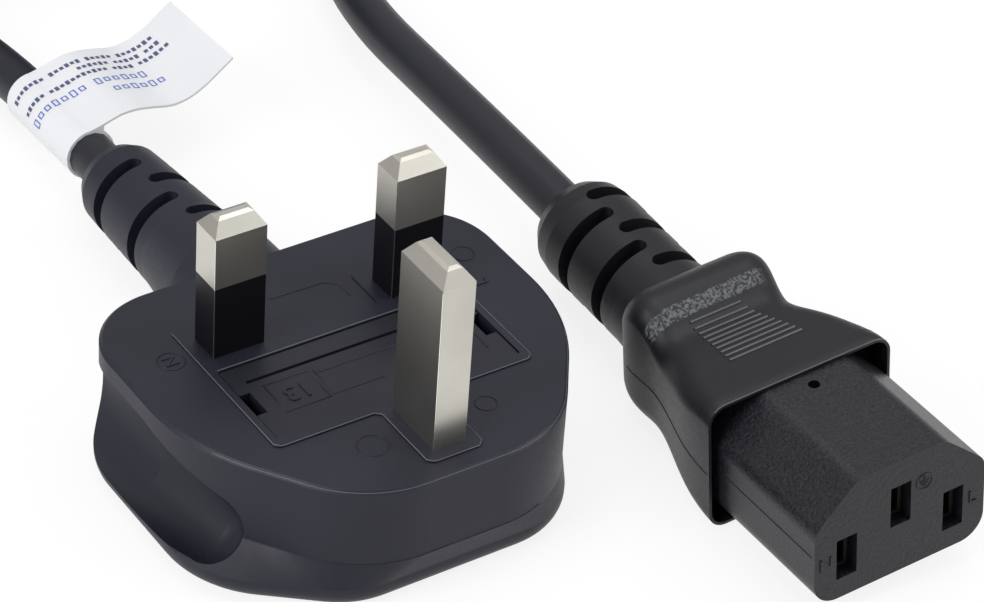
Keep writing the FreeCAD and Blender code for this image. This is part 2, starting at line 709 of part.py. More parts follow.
def cartridge_fuse():
    """Ceramic tube, two caps and the wire between them."""
    place = Placement(fuse_axis(), Rotation())
    half = "sizes.fuse_length/2"
    wall = "sizes.fuse_cap_wall"
    radius = "sizes.fuse_diameter/2"
    bore = "sizes.fuse_bore/2"
    pieces = [turned("fuse_tube", [
        (f"-{half} + {wall}", bore), (f"{half} - {wall}", bore),
        (f"{half} - {wall}", f"{radius} - {wall}"), (f"-{half} + {wall}", f"{radius} - {wall}")],
        place)]
    for name, side in (("fuse_cap_pin_side", ""), ("fuse_cap_cord_side", "-")):
        pieces.append(turned(name, [
            (f"{side}({half})", "0"), (f"{side}({half})", radius),
            (f"{side}({half} - sizes.fuse_cap_length)", radius),
            (f"{side}({half} - sizes.fuse_cap_length)", f"{radius} - {wall}"),
            (f"{side}({half} - {wall})", f"{radius} - {wall}"),
            (f"{side}({half} - {wall})", "0")], place))
    pieces.append(turned("fuse_wire", [
        (f"-{half} + {wall}", "0"), (f"{half} - {wall}", "0"),
        (f"{half} - {wall}", "sizes.fuse_wire_diameter/2"),
        (f"-{half} + {wall}", "sizes.fuse_wire_diameter/2")], place))
    return pieces


def fuse_carrier():
    """Carrier: face plate with prising notches, end walls and a saddle that grips the fuse."""
    body = new_body("fuse_carrier")
    middle = fuse_axis()
    half = f"({WELL_HALF} - sizes.carrier_gap)"
    saddle_half = "(sizes.fuse_length/2 - sizes.fuse_cap_length - sizes.carrier_saddle_room)"
    across = "((sizes.well_front - sizes.well_back)/2 - sizes.carrier_gap)"
    plate_level = f"sizes.body_height - sizes.carrier_plate - {middle.z}"
    plate = attach(body, "XY_Plane", "carrier_plan", plate_level)
    loop(plate, box_corners(f"-{half}", half, f"-{across}", across))
    pad(body, plate, "sizes.carrier_plate", "carrier_plate")
    for side in ("-", ""):
        wall = attach(body, "XY_Plane", "carrier_wall_plan", plate_level)
        outer = f"{side}{half}"
        inner = f"{side}({half} - sizes.carrier_end_wall)"
        loop(wall, [(outer, f"-{across}"), (inner, f"-{across}"), (inner, across),
                    (outer, across)])
        pad(body, wall, "sizes.body_height - sizes.carrier_plate - sizes.carrier_wall_level",
            "carrier_wall", reverse=True)
    saddle = attach(body, "XY_Plane", "saddle_plan", plate_level)
    loop(saddle, box_corners(f"-{saddle_half}", saddle_half, "-sizes.carrier_saddle_half_width",
                             "sizes.carrier_saddle_half_width"))
    pad(body, saddle, "sizes.body_height - sizes.carrier_plate - sizes.carrier_wall_level",
        "saddle", reverse=True)
    bore = attach(body, "YZ_Plane", "saddle_bore")
    circle(bore, "0", "0", "sizes.fuse_diameter/2 + sizes.carrier_saddle_gap")
    pocket(body, bore, "sizes.fuse_length + 2*sizes.carrier_saddle_gap", "saddle_bore_cut",
           midplane=True)
    for side in ("-", ""):
        notch = attach(body, "XY_Plane", "notch_plan", f"sizes.body_height - {middle.z}")
        low = "sizes.carrier_notch_step - sizes.carrier_notch_length/2"
        high = "sizes.carrier_notch_step + sizes.carrier_notch_length/2"
        loop(notch, [(f"{side}({half} + 1)", low),
                     (f"{side}({half} - sizes.carrier_notch_depth)", low),
                     (f"{side}({half} - sizes.carrier_notch_depth)", high),
                     (f"{side}({half} + 1)", high)])
        pocket(body, notch, "sizes.body_height - sizes.carrier_wall_level + 1", "notch")
    groove = attach(body, "XY_Plane", "groove_plan", f"sizes.body_height - {middle.z}")
    top = f"{across} - sizes.carrier_groove_inset"
    loop(groove, box_corners(f"-{half} + sizes.carrier_groove_end", f"{half} - sizes.carrier_groove_end",
                             f"{top} - sizes.carrier_groove_width", top))
    pocket(body, groove, "sizes.carrier_groove_depth", "groove")
    body.Placement = Placement(middle, Rotation())
    return body


def crimp(name, x, near):
    """Crimp barrel along Y, from the tail it grips towards the cord."""
    barrel = doc.addObject("Part::Cylinder", name)
    barrel.Label = name
    barrel.setExpression("Radius", "sizes.crimp_diameter/2")
    barrel.setExpression("Height", "sizes.crimp_length")
    barrel.Placement = Placement(Vector(x, near, size("core_level")),
                                 Rotation(Vector(1, 0, 0), -90))
    return barrel


def core_offset(turn):
    """A core's place round the cord's middle, across and up, for a turn in degrees."""
    angle = math.radians(turn)
    return Vector(size("core_circle") * math.cos(angle), 0, size("core_circle") * math.sin(angle))


def plug_cores():
    """Three cores from the cord's end to their crimps."""
    place = relief_placement()
    level = size("core_level")
    length = size("relief_length")
    back = size("back_edge")
    crimped = size("crimp_length")
    ends = {
        "line_core": (300, -size("clip_tab_offset"), line_crimp_start() + crimped),
        "neutral_core": (180, -size("pin_spacing") / 2, neutral_crimp_start() + crimped),
        "earth_core": (60, 0, earth_crimp_start() + crimped),
    }
    cores = []
    for name, (turn, x, y) in ends.items():
        aside = core_offset(turn)
        across, along_cord, above = CORE_BENDS[name]
        end = Vector(x, y, level)
        cores.append(wire_core(name, [
            place.multVec(aside + Vector(0, length, 0)), place.multVec(aside + Vector(0, 2, 0)),
            Vector(across, back + along_cord, level + above),
            end + Vector(0, size("core_lead"), 0), end]))
    return cores


def line_crimp_start():
    """Where the line crimp meets the tab of its clip."""
    return fuse_axis().y + size("clip_strap_width") / 2


def neutral_crimp_start():
    """Where the neutral crimp meets the neutral pin's tail."""
    return size("pin_depth") / 2 - size("sleeve_wall")


def earth_crimp_start():
    """Where the earth crimp meets the earth pin's tail."""
    return -size("earth_distance") + size("earth_depth") / 2


def build_plug():
    """The plug: body, bridge, pins, clips, crimps, cores and the fuse in its carrier."""
    spacing = size("pin_spacing") / 2
    neck = "sizes.sleeve_length"
    line = pin_body("line_pin", spacing, 0, "sizes.pin_width", "sizes.pin_depth",
                    "sizes.pin_length", "sizes.pin_root", "sizes.pin_tip_width",
                    "sizes.pin_tip_depth", neck)
    neutral = pin_body("neutral_pin", -spacing, 0, "sizes.pin_width", "sizes.pin_depth",
                       "sizes.pin_length", "sizes.tail_level", "sizes.pin_tip_width",
                       "sizes.pin_tip_depth", neck)
    earth = pin_body("earth_pin", 0, -size("earth_distance"), "sizes.earth_width",
                     "sizes.earth_depth", "sizes.earth_length", "sizes.tail_level",
                     "sizes.earth_tip_width", "sizes.earth_tip_depth", "")
    sleeves = [sleeve("line_pin_sleeve", spacing), sleeve("neutral_pin_sleeve", -spacing)]
    pin_clip, cord_clip = clips()
    crimps = [crimp("line_crimp", -size("clip_tab_offset"), line_crimp_start()),
              crimp("neutral_crimp", -spacing, neutral_crimp_start()),
              crimp("earth_crimp", 0, earth_crimp_start())]
    cores = plug_cores()
    blank = bridge_blank()
    bridge = cut("pin_bridge", blank, [fuse_well(), line, neutral, earth, pin_clip, cord_clip])
    mould = plug_mould()
    rounded = doc.addObject("Part::Fillet", "plug_floor_edges")
    rounded.Base = mould
    rounded.Edges = level_edges(mould.Shape, 0, size("floor_edge_radius"))
    doc.recompute()
    bevelled = doc.addObject("Part::Chamfer", "plug_face_edges")
    bevelled.Base = rounded
    bevelled.Edges = level_edges(rounded.Shape, size("body_height"), size("face_edge_bevel"))
    doc.recompute()
    gripped = cut("plug_gripped", bevelled, [finger_grip(1), finger_grip(-1)])
    outside = fuse("plug_outside", [gripped, plug_relief()])
    length = size("relief_length")
    pitch = size("relief_slot_pitch")
    stations = [length - 6.4 - pitch * step for step in range(4)]
    slots = relief_slots("plug_relief_slots", stations, 0, relief_placement())
    body = cut("plug_body", outside, [slots, blank, neutral, earth, cord_clip] + crimps + cores)
    nodes = [body, bridge, earth, line, neutral] + sleeves + [pin_clip, cord_clip]
    return nodes + crimps + cores + cartridge_fuse() + [fuse_carrier()]


def level_edges(shape, level, reach):
    """Edges that lie flat at a height, each with the reach of its rounding or bevel."""
    return [(index, reach, reach) for index, edge in enumerate(shape.Edges, 1)
            if max(abs(edge.BoundBox.ZMin - level), abs(edge.BoundBox.ZMax - level)) < 0.01]


def connector_placement():
    """Where the connector lies: its face looks back past the plug, its line side raised."""
    turn = Rotation(Vector(0, 0, 1), size("connector_yaw"))
    turn = turn * Rotation(Vector(1, 0, 0), size("connector_pitch"))
    turn = turn * Rotation(Vector(0, 1, 0), size("connector_roll"))
    return Placement(Vector(size("connector_x"), -size("connector_y"), size("connector_level")),
                     turn)


def nose_sketch(body, name):
    """Connector's nose: flat bottom, upright sides and a chamfered top."""
    sketch = attach(body, "XZ_Plane", name)
    wide = "sizes.nose_half_width"
    flat = "sizes.nose_top_half_width"
    loop(sketch, [(f"-{wide}", "-sizes.nose_below"), (wide, "-sizes.nose_below"),
                  (wide, "sizes.nose_shoulder"), (flat, "sizes.nose_above"),
                  (f"-{flat}", "sizes.nose_above"), (f"-{wide}", "sizes.nose_shoulder")])
    return sketch


def along(run):
    """True for an edge along Y."""
    return abs(run.y) > 0.99 * run.Length > 0


def connector_insert():
    """Hard nose with its three slots."""
    body = new_body("connector_insert")
    sketch = nose_sketch(body, "nose_outline")
    pad(body, sketch, "sizes.nose_length + sizes.nose_seat", "nose", reverse=True)
    below = -size("nose_below")
    round_edges(body, lambda middle, run: along(run) and middle.z < below + 0.01,
                "sizes.nose_lower_radius", "nose_lower_corners")
    round_edges(body, lambda middle, run: along(run) and middle.z > 0 and
                not (abs(middle.x) < 0.01) and middle.z >= size("nose_shoulder") - 0.01,
                "sizes.nose_upper_radius", "nose_upper_corners")
    slots = attach(body, "XZ_Plane", "slot_outlines")
    for x, z in contact_places():
        loop(slots, box_corners(f"{x} - sizes.slot_width/2", f"{x} + sizes.slot_width/2",
                                f"{z} - sizes.slot_height/2", f"{z} + sizes.slot_height/2"))
    pocket(body, slots, "sizes.slot_depth", "slots")
    body.Placement = connector_placement()
    return body


def contact_places():
    """Contacts across and up, as expressions: neutral, earth, line."""
    return [("-sizes.contact_spacing/2", "0"), ("0", "sizes.contact_earth_rise"),
            ("sizes.contact_spacing/2", "0")]


def connector_contacts():
    """Folded contacts inside the slots."""
    contacts = []
    for name, (x, z) in zip(("neutral", "earth", "line"), contact_places()):
        body = new_body("connector_contact_" + name)
        sketch = attach(body, "XZ_Plane", name + "_contact_section", "-sizes.contact_inset")
        wide = "(sizes.slot_width/2 - sizes.contact_gap)"
        tall = "(sizes.slot_height/2 - sizes.contact_gap)"
        metal = "sizes.contact_metal"
        loop(sketch, [
            (f"{x} - {wide}", f"{z} - {tall}"), (f"{x} + {wide}", f"{z} - {tall}"),
            (f"{x} + {wide}", f"{z} + {tall}"), (f"{x} + {wide} - {metal}", f"{z} + {tall}"),
            (f"{x} + {wide} - {metal}", f"{z} - {tall} + {metal}"),
            (f"{x} - {wide} + {metal}", f"{z} - {tall} + {metal}"),
            (f"{x} - {wide} + {metal}", f"{z} + {tall}"), (f"{x} - {wide}", f"{z} + {tall}")])
        pad(body, sketch, "sizes.slot_depth - sizes.contact_inset", name + "_contact",
            reverse=True)
        body.Placement = connector_placement()
        contacts.append(body)
    return contacts


def rounded_section(body, name, station, middle, half_width, low, high, radius):
    """A rounded rectangle across the connector, at a distance behind its face."""
    sketch = attach(body, "XZ_Plane", name, str(-station))
    left = middle - half_width
    right = middle + half_width
    spots = [(left + radius, low), (right - radius, low), (right, low + radius),
             (right, high - radius), (right - radius, high), (left + radius, high),
             (left, high - radius), (left, low + radius)]
    middles = [(right - radius, low + radius), (right - radius, high - radius),
               (left + radius, high - radius), (left + radius, low + radius)]
    for side in range(4):
        start = Vector(*spots[2 * side], 0)
        end = Vector(*spots[2 * side + 1], 0)
        sketch.addGeometry(Part.LineSegment(start, end), False)
        turn = math.radians(90 * side - 90)
        round_edge = Part.Circle(Vector(*middles[side], 0), Vector(0, 0, 1), radius)
        sketch.addGeometry(Part.ArcOfCircle(round_edge, turn, turn + math.pi / 2), False)
    for side in range(4):
        line = 2 * side
        arc = line + 1
        sketch.addConstraint(Sketcher.Constraint("Tangent", line, 2, arc, 1))
        sketch.addConstraint(Sketcher.Constraint("Tangent", arc, 2, (arc + 1) % 8, 1))
        kind = "Horizontal" if side % 2 == 0 else "Vertical"
        sketch.addConstraint(Sketcher.Constraint(kind, line))
    return sketch


def connector_overmould():
    """Soft overmould: hood, waist and flange, lofted through rounded sections."""
    body = new_body("connector_overmould")
    sections = [rounded_section(body, f"overmould_section_{index}", *section)
                for index, section in enumerate(OVERMOULD_SECTIONS)]
    doc.recompute()
    feature = body.newObject("PartDesign::AdditiveLoft", "overmould_loft")
    feature.Profile = sections[0]
    feature.Sections = sections[1:]
    feature.Ruled = False
    doc.recompute()
    station, middle, half_width, low, high, radius = OVERMOULD_SECTIONS[0]
    wall = size("hood_wall")
    hollow = rounded_section(body, "hood_hollow", station, middle, half_width - wall,
                             low + wall, high - wall, radius - wall)
    pocket(body, hollow, "sizes.hood_depth", "hood_pocket")
    body.Placement = connector_placement()
    return body


def connector_relief_axis():
    """The connector's strain relief axis, level behind the flange."""
    here = Placement(Vector(0, size("connector_relief_start"), size("connector_relief_level")),
                     Rotation(Vector(1, 0, 0), size("connector_relief_rise")))
    return connector_placement().multiply(here)


def connector_relief_length():
    """From the flange to the end of the strain relief."""
    return size("connector_relief_end") - size("connector_relief_start")


def connector_relief():
    """Bulbous strain relief behind the flange."""
    body = new_body("connector_relief")
    length = "(sizes.connector_relief_end - sizes.connector_relief_start)"
    radius = "sizes.connector_relief_radius"
    relief_profile(body, [
        ("-3", "0"),
        (length, "0"),
        (length, f"{radius} - 2.6"),
        (f"{length} - 0.8", f"{radius} - 1.3"),
        (f"{length} - 2.4", f"{radius} - 0.35"),
        (f"{length} - 4.6", radius),
        (f"{length} * 0.5", f"{radius} - 0.1"),
        (f"{length} * 0.25", f"{radius} - 0.1"),
        ("0", f"{radius} + 0.2"),
        ("-3", f"{radius} + 0.2")], "connector_relief_section")
    body.Placement = connector_relief_axis()
    return body


def connector_cores():
    """Three cores from the contacts to the cord's end."""
    place = connector_placement()
    relief = connector_relief_axis()
    rear = size("slot_depth")
    lead = size("contact_lead")
    starts = {"neutral": (-size("contact_spacing") / 2, 0, 203),
              "earth": (0, size("contact_earth_rise"), 83),
              "line": (size("contact_spacing") / 2, 0, 323)}
    cores = []
    for name, (x, z, turn) in starts.items():
        aside = core_offset(turn)
        points = [place.multVec(Vector(x, rear, z)), place.multVec(Vector(x, rear + lead, z)),
                  relief.multVec(aside - Vector(0, lead, 0)),
                  relief.multVec(aside + Vector(0, connector_relief_length(), 0))]
        cores.append(wire_core("connector_core_" + name, points))
    return cores


def build_connector():
    """The connector: insert, contacts, cores and overmould."""
    insert = connector_insert()
    contacts = connector_contacts()
    cores = connector_cores()
    outside = fuse("connector_outside", [connector_overmould(), connector_relief()])
    length = connector_relief_length()
    pitch = size("connector_slot_pitch")
    stations = [length - 4.8 - pitch * step for step in range(5)]
    slots = relief_slots("connector_relief_slots", stations, 1, connector_relief_axis())
    body = carve("connector_body", outside, cores + [nose_solid(), slots])
    hard = cut("connector_nose", insert, cores)
    return [body, hard] + contacts + cores


def nose_solid():
    """The nose without its slots, to seat it in the overmould."""
    body = new_body("nose_solid")
    sketch = nose_sketch(body, "nose_seat_outline")
    pad(body, sketch, "sizes.nose_length + sizes.nose_seat", "nose_seat", reverse=True)
    below = -size("nose_below")
    round_edges(body, lambda middle, run: along(run) and middle.z < below + 0.01,
                "sizes.nose_lower_radius", "seat_lower_corners")
    round_edges(body, lambda middle, run: along(run) and
                middle.z >= size("nose_shoulder") - 0.01,
                "sizes.nose_upper_radius", "seat_upper_corners")
    body.Placement = connector_placement()
    return body


def plug_cord_start():
    """Where the cord leaves the plug's strain relief, and the way it heads."""
    place = relief_placement()
    start = place.multVec(Vector(0, size("relief_length"), 0))
    return start, place.Rotation.multVec(Vector(0, 1, 0))


def connector_cord_start():
    """Where the cord leaves the connector's strain relief, and the way it heads."""
    place = connector_relief_axis()
    start = place.multVec(Vector(0, connector_relief_length(), 0))
    return start, place.Rotation.multVec(Vector(0, 1, 0))


def build_cord():
    """Both ends of the cord, the coil between them and the label by the plug."""
    diameter = size("cord_diameter")
    outer_turn = size("coil_mean_radius") + (size("coil_columns") - 1) * diameter / 2
    middle = Vector(size("coil_middle_x"), size("coil_middle_y"), 0)
    top = diameter * (size("coil_layers") - 0.5)
    start, heading = plug_cord_start()
    route = [start, start + heading * FIRST_RUN] + [Vector(*p) for p in PLUG_CORD_ROUTE]
    route.append(middle + Vector(-outer_turn, 0, diameter / 2 + 0.15))
    plug_side = tube("cord_plug_side", route, diameter)
    start, heading = connector_cord_start()
    route = [start, start + heading * FIRST_RUN]
    route += [Vector(*p) for p in CONNECTOR_CORD_ROUTE]
    route.append(middle + Vector(outer_turn, 0, top))
    connector_side = tube("cord_connector_side", route, diameter)
    return [plug_side, cord_coil(middle), connector_side, cord_label()]


def cord_coil(middle):
    """Outer shape of the neat coil that holds the rest of the cord."""
    body = new_body("cord_coil")
    sketch = attach(body, "XZ_Plane", "coil_section")
    half = "sizes.coil_columns * sizes.cord_diameter/2"
    loop(sketch, box_corners(f"sizes.coil_mean_radius - {half}",
                             f"sizes.coil_mean_radius + {half}", "0",
                             "sizes.coil_layers * sizes.cord_diameter"))
    feature = body.newObject("PartDesign::Revolution", "coil_ring")
    feature.Profile = sketch
    feature.ReferenceAxis = (sketch, ["V_Axis"])
    feature.Angle = 360
    doc.recompute()
    body.Placement = Placement(middle, Rotation())
    return body


def flag_section():
    """Section of the label's flag, filled out to the wrap where the label's ends meet."""
    radius = size("cord_diameter") / 2
    outer = radius + size("label_thickness")
    half = size("label_thickness") / 2
    above = [Vector(x, 0, radius + rise + half) for x, rise in FLAG_LINE]
    below = [Vector(x, 0, radius + rise - half) for x, rise in reversed(FLAG_LINE[FLAG_JOIN:])]
    upper = Part.BSplineCurve()
    upper.interpolate(above)
    lower = Part.BSplineCurve()
    lower.interpolate(below)
    leaves = math.radians(WRAP_LEAVES_AT)
    foot = Vector(outer * math.cos(leaves), 0, outer * math.sin(leaves))
    rest = Part.makePolygon([below[-1], foot, Vector(0, 0, 0), above[0]])
    edges = [upper.toShape(), Part.makeLine(above[-1], below[0]), lower.toShape()] + rest.Edges
    return Part.Face(Part.Wire(edges))


def cord_label():
    """White flag label: wrapped round the cord, its two ends stuck together as a curved flag."""
    start, heading = plug_cord_start()
    width = size("label_width")
    outer = size("cord_diameter") / 2 + size("label_thickness")
    wrap = Part.makeCylinder(outer, width, Vector(0, 0, 0), Vector(0, 1, 0))
    outside = wrap.fuse(flag_section().extrude(Vector(0, width, 0)))
    cord = Part.makeCylinder(size("cord_diameter") / 2, width + 2, Vector(0, -1, 0),
                             Vector(0, 1, 0))
    feature = doc.addObject("Part::Feature", "cord_label")
    feature.Label = "cord_label"
    feature.Shape = outside.cut(cord).removeSplitter()
    feature.Placement = Placement(start + heading * size("label_start"),
                                  Rotation(Vector(0, 1, 0), heading))
    return feature


def check(nodes):
    """Stop if any object failed or any node is not one valid shape."""
    doc.recompute()
    for item in doc.Objects:
        if "Invalid" in item.State or "Error" in item.State:
            raise RuntimeError(f"{item.Name} failed: {item.State}")
    for node in nodes:
        if node.Shape.isNull() or not node.Shape.isValid():
            raise RuntimeError(f"{node.Label} has no valid shape")


def main():
    """Build every piece and write each to its own file."""
    nodes = build_plug() + build_cord() + build_connector()
    check(nodes)
    os.makedirs("parts", exist_ok=True)
    for node in nodes:
        label = "connector_insert" if node.Label == "connector_nose" else node.Label
        node.Shape.exportStep(f"parts/{label}.step")
        print(label, "solids", len(node.Shape.Solids), "volume %.1f" % node.Shape.Volume)


main()
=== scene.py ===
import math
import bpy
from mathutils import Matrix, Vector
from mathutils.bvhtree import BVHTree


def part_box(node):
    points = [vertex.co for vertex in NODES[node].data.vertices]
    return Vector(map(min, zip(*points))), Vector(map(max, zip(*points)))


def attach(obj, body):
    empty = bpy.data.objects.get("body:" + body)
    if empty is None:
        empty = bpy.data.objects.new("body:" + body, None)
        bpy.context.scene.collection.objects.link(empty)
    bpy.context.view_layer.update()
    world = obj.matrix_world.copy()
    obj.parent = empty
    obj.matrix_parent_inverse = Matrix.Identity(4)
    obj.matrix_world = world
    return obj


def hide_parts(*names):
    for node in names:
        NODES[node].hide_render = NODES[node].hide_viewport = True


# UK three pin plug with its cord and appliance connector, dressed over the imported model.
# Lengths are in millimetres and become metres where they meet Blender.

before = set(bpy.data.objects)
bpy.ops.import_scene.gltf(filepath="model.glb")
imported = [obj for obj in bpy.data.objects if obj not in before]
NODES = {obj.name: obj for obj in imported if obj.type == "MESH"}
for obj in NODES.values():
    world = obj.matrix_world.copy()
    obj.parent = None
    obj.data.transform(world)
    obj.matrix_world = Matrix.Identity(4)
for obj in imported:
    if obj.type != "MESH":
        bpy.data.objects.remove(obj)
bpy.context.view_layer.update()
MM = 0.001

# Camera: angles in degrees, distance and lens in millimetres, clip distances in metres
CAMERA_AZIMUTH = -35.632
CAMERA_ELEVATION = 36.944
CAMERA_ROLL = 4.204
CAMERA_DISTANCE = 413.982
CAMERA_TARGET = (12.497, -14.426, 21.939)
CAMERA_LENS = 142.95
SENSOR_WIDTH = 36.0
CLIP_START = 0.01
CLIP_END = 20

# Light: strength all round, and in reflections from low to high
SKY_LIGHT = 0.5
MIRRORED_LIGHT = {"From Min": 0.1, "From Max": 0.4, "To Min": 0.32, "To Max": 0.6}
# Soft boxes: what they face, then name, place and size in metres, and power
LIGHT_TARGET = (15, 0, 10)
SOFT_BOXES = [
    ("top box", (0.1, 0.15, 1.0), 0.9, 0.9, 5),
    ("left box", (-1.0, -0.1, 0.6), 0.6, 0.8, 10),
    ("right box", (0.9, -0.6, 0.7), 0.5, 0.7, 6)]

# Floor: reach in metres, grey, roughness, and the share of white that it glows where it is seen
FLOOR_REACH = 3.0
FLOOR_GREY = (0.84, 0.84, 0.84)
FLOOR_ROUGHNESS = 0.9
FLOOR_GLOW = 0.84

# Cord: its ends' places and headings, straight runs out of them, and routes to the coil
CORD_DIAMETER = 5.7
RELIEF_EXIT = (-0.6051, 44.9366, 5.5854)
RELIEF_HEADING = (0.010452, 0.99808, -0.061049)
FIRST_RUN = 12.0
PLUG_CORD_ROUTE = [(0.6, 70.5, 3.1), (-1.5, 85.0, 3.0), (-6.6, 101.0, 3.0), (-11.2, 117.5, 3.0)]
CONNECTOR_EXIT = (40.5092, 10.285, 7.8127)
CONNECTOR_HEADING = (0.022386, 0.999601, 0.017201)
CONNECTOR_CORD_ROUTE = [
    (42.5, 42.5, 6.5), (44.6, 61.5, 4.3), (49.0, 76.0, 3.4), (57.0, 91.0, 5.6),
    (63.0, 106.5, 11.0), (63.4, 119.0, 15.6)]

# Coil: middle of its turns, the direction in degrees where it starts, and its gap to the floor
COIL_MIDDLE = (25.0, 132.5)
COIL_RADIUS = 34.0
COIL_TURNS = 7.5
COIL_START = 180
COIL_CLEARANCE = 0.05
POINTS_PER_TURN = 24
# Column across and layer up of each turn in the coil: 1 is the outer column.
COIL_SEATS = [(1, 0), (-1, 0), (-1, 1), (1, 1), (1, 2), (-1, 2), (-1, 3), (1, 3)]
# Changes of seat in degrees: the first before its turn's end, each later one's lead, and width
FIRST_CHANGE = 25.0
CHANGE_STEP = 22.0
CHANGE_WIDTH = 45.0
# Fineness of the cord's curve
CORD_ROUNDNESS = 5
CORD_STEPS = 6
CORD_ORDER = 3

# Level of the plug's pin face, and height of the pins' bevelled tips
PIN_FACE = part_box("plug_body")[1].z / MM
PIN_TIP = 1.8

# Connector's pose: the middle of the contacts' line on its face, and its turns in degrees
CONNECTOR_PLACE = (38.95, -53.7, 8.1)
CONNECTOR_YAW = -1.6
CONNECTOR_PITCH = -2.5
CONNECTOR_ROLL = -5.2

# Finishes: grain and clouds per metre, depths in millimetres, spreads and bands as shares
RAMP_START = 0.3
RAMP_END = 0.7
CLOUD_DETAIL = 4.0
GLOSS_SPREAD = 0.08
METAL_CLOUDS = 140
METAL_SPREAD = 0.05
METAL_GRAIN = 3500
METAL_DEPTH = 0.002
GRIP_SPECULAR = 0.3
GRIP_GRAIN = 1900
GRIP_CLOUDS = 60
GRIP_SPREAD = 0.1
GRIP_DEPTH = 0.02
CORE_ROUGHNESS = 0.45
CORE_GRAIN = 900
CORE_DEPTH = 0.005
CORE_BAND = 0.6
PLUG_GREY = (0.0120, 0.0128, 0.0212)
# How far the roughness goes below and above its middle
METAL_GLOSS = (0.03, 0.05)
GRIP_GLOSS = (0.08, 0.1)

# Stippled band on the flange, with painted glints: distances from the connector's face, level and
# side that it fades at
STIPPLE = (32.7, 35.4)
STIPPLE_EDGE = 0.7
STIPPLE_FLOOR = (12.6, 14.2)
STIPPLE_SIDE = (46.6, 44.2)
STIPPLE_GRAIN = 3000
STIPPLE_DETAIL = 2.0
# Its relief beside the grain's, the colour of the painted glints on its specks, and the noise
# levels where they show
STIPPLE_SHARE = 2.5
PAINTED_GLINT = (0.105, 0.112, 0.112)
PAINTED_GLINT_RANGE = (0.36, 0.66)

# Fine lines, rings and letters
LINE_ROUNDNESS = 2
RING_POINTS = 28
LETTER_RISE = 0.12

# Label: distance from the relief's end along the cord, width along the cord, and thickness
LABEL_START = 5.5
LABEL_WIDTH = 15.5
LABEL_FILM = 0.3
# Flag: distance from the cord's axis, and height of its middle above the cord's top
FLAG_LINE = [
    (0.0, 0.15), (1.5, 0.5), (3.0, 0.95), (4.5, 1.3), (6.5, 1.3), (8.5, 0.95), (11.0, 0.45),
    (13.2, 0.7), (15.3, 1.6), (17.4, 3.0), (19.4, 4.4)]
# Where the flag's underside ends beside the cord, and directions of the wrap's ends in degrees
FLAG_JOIN = 1.8
WRAP_STARTS_AT = 90.0
WRAP_LEAVES_AT = 415.0
FLAG_STEPS = 40
WRAP_STEPS = 30
LABEL_ROWS = 12

# Rows of print: distance along the cord, start and end across, and height of its letters
PRINT_ROWS = [(13.2, -4.2, 15.5, 0.85), (11.7, 4.5, 16.0, 0.85), (10.2, -4.2, 16.4, 0.85)]
BLUE_ROWS = [(7.8, -4.4, 12.2, 1.4), (5.4, 6.2, 13.0, 1.4)]
# Letters in each word, then heights, width and steps as shares of a row's height
WORDS = (7, 6, 5, 11, 4)
LETTER_HEIGHTS = (1.0, 0.7, 0.7, 0.95, 0.7)
LETTER_WIDTH = 0.55
LETTER_STEP = 0.85
WORD_STEP = 0.7
STROKE = 0.17
PRINT_RISE = 0.03
BAR_STEPS = 2

# Marks on the pin face: middle and radius of each ring, the pole letters, and a plateau's edge
GATE_RINGS = [(-6.9, -22.3, 1.7), (7.2, -22.1, 1.2), (19.4, 1.4, 1.3)]
POLE_RING = (-18.2, 0, 1.5)
RING_WIDTH = 0.2
POLE_LETTERS = [("neutral_letter", "N", (-18.2, 0)), ("line_letter", "L", (18.4, -4.0))]
POLE_LETTER_HEIGHT = 2.2
PLATEAU_EDGE = [(-3.5, 4.4), (3.1, 4.2), (4.4, 3.1), (4.5, 0.9)]
PLATEAU_WIDTH = 0.18

# Marks on the fuse carrier: the rating in its square, and the lines of the panel
RATING_SQUARE = [(-11.8, -8.3), (-6.4, -8.3), (-6.4, -13.2), (-11.8, -13.2)]
SQUARE_WIDTH = 0.22
RATING_PLACE = (-9.1, -10.75)
RATING_HEIGHT = 3.4
PANEL_LINES = [
    [(-5.4, -9.05), (4.4, -9.05)],
    [(-5.8, -8.5), (-5.8, -13.0), (0.3, -13.0)],
    [(12.7, -11.5), (12.6, -14.1)]]
PANEL_WIDTH = 0.2

# Painted highlights along the edges of the bridge's frame, the carrier's back, the pins and the
# sleeves
FRAME_LINES = [
    [(-15.9, 3.9), (-15.9, -17.4), (-15.2, -18.0), (-4.1, -18.0), (-3.4, -18.6),
     (-3.4, -27.1), (-2.7, -27.8), (2.7, -27.8), (3.4, -27.1), (3.4, -18.6), (4.1, -18.0),
     (15.2, -18.0), (15.9, -17.4), (15.9, 3.9)]]
CARRIER_BACK = [(-14.9, -3.95), (14.9, -3.95)]
PIN_EDGE = 0.13
FRAME_EDGE = 0.14

# Plug's parting line: level, middle, and directions from the middle in degrees round from +X
PARTING_LEVEL = 5.8
PARTING_MIDDLE = (0.0, -12.0)
PARTING_FROM = 196.0
PARTING_TO = 300.0
PARTING_STEPS = 70
PARTING_WIDTH = 0.16
# Painted highlight on the rim above it: directions, depth below the pin face, and width
RIM_FROM = 188.0
RIM_TO = 352.0
RIM_DROP = 0.22
RIM_WIDTH = 0.1
# A distance outside the plug, where rays start
OUTSIDE = 60

# Ribs on the connector's waist: distances from its face, half lengths and middles
RIB_COUNT = 10
RIBS_START = 23.9
RIBS_END = 32.0
RIB_HALF_FRONT = 4.7
RIB_HALF_BACK = 3.3
RIB_MIDDLE_FRONT = -0.5
RIB_MIDDLE_BACK = -1.5
RIB_WIDTH = 0.34
RIB_STEPS = 8

# Painted highlight along the hood's edge: distance from the connector's face, and ends to both
# sides
HOOD_FRONT = 17.36
HOOD_SIDES = (-11.6, 10.6)
HOOD_EDGE = 0.17
HOOD_STEPS = 40

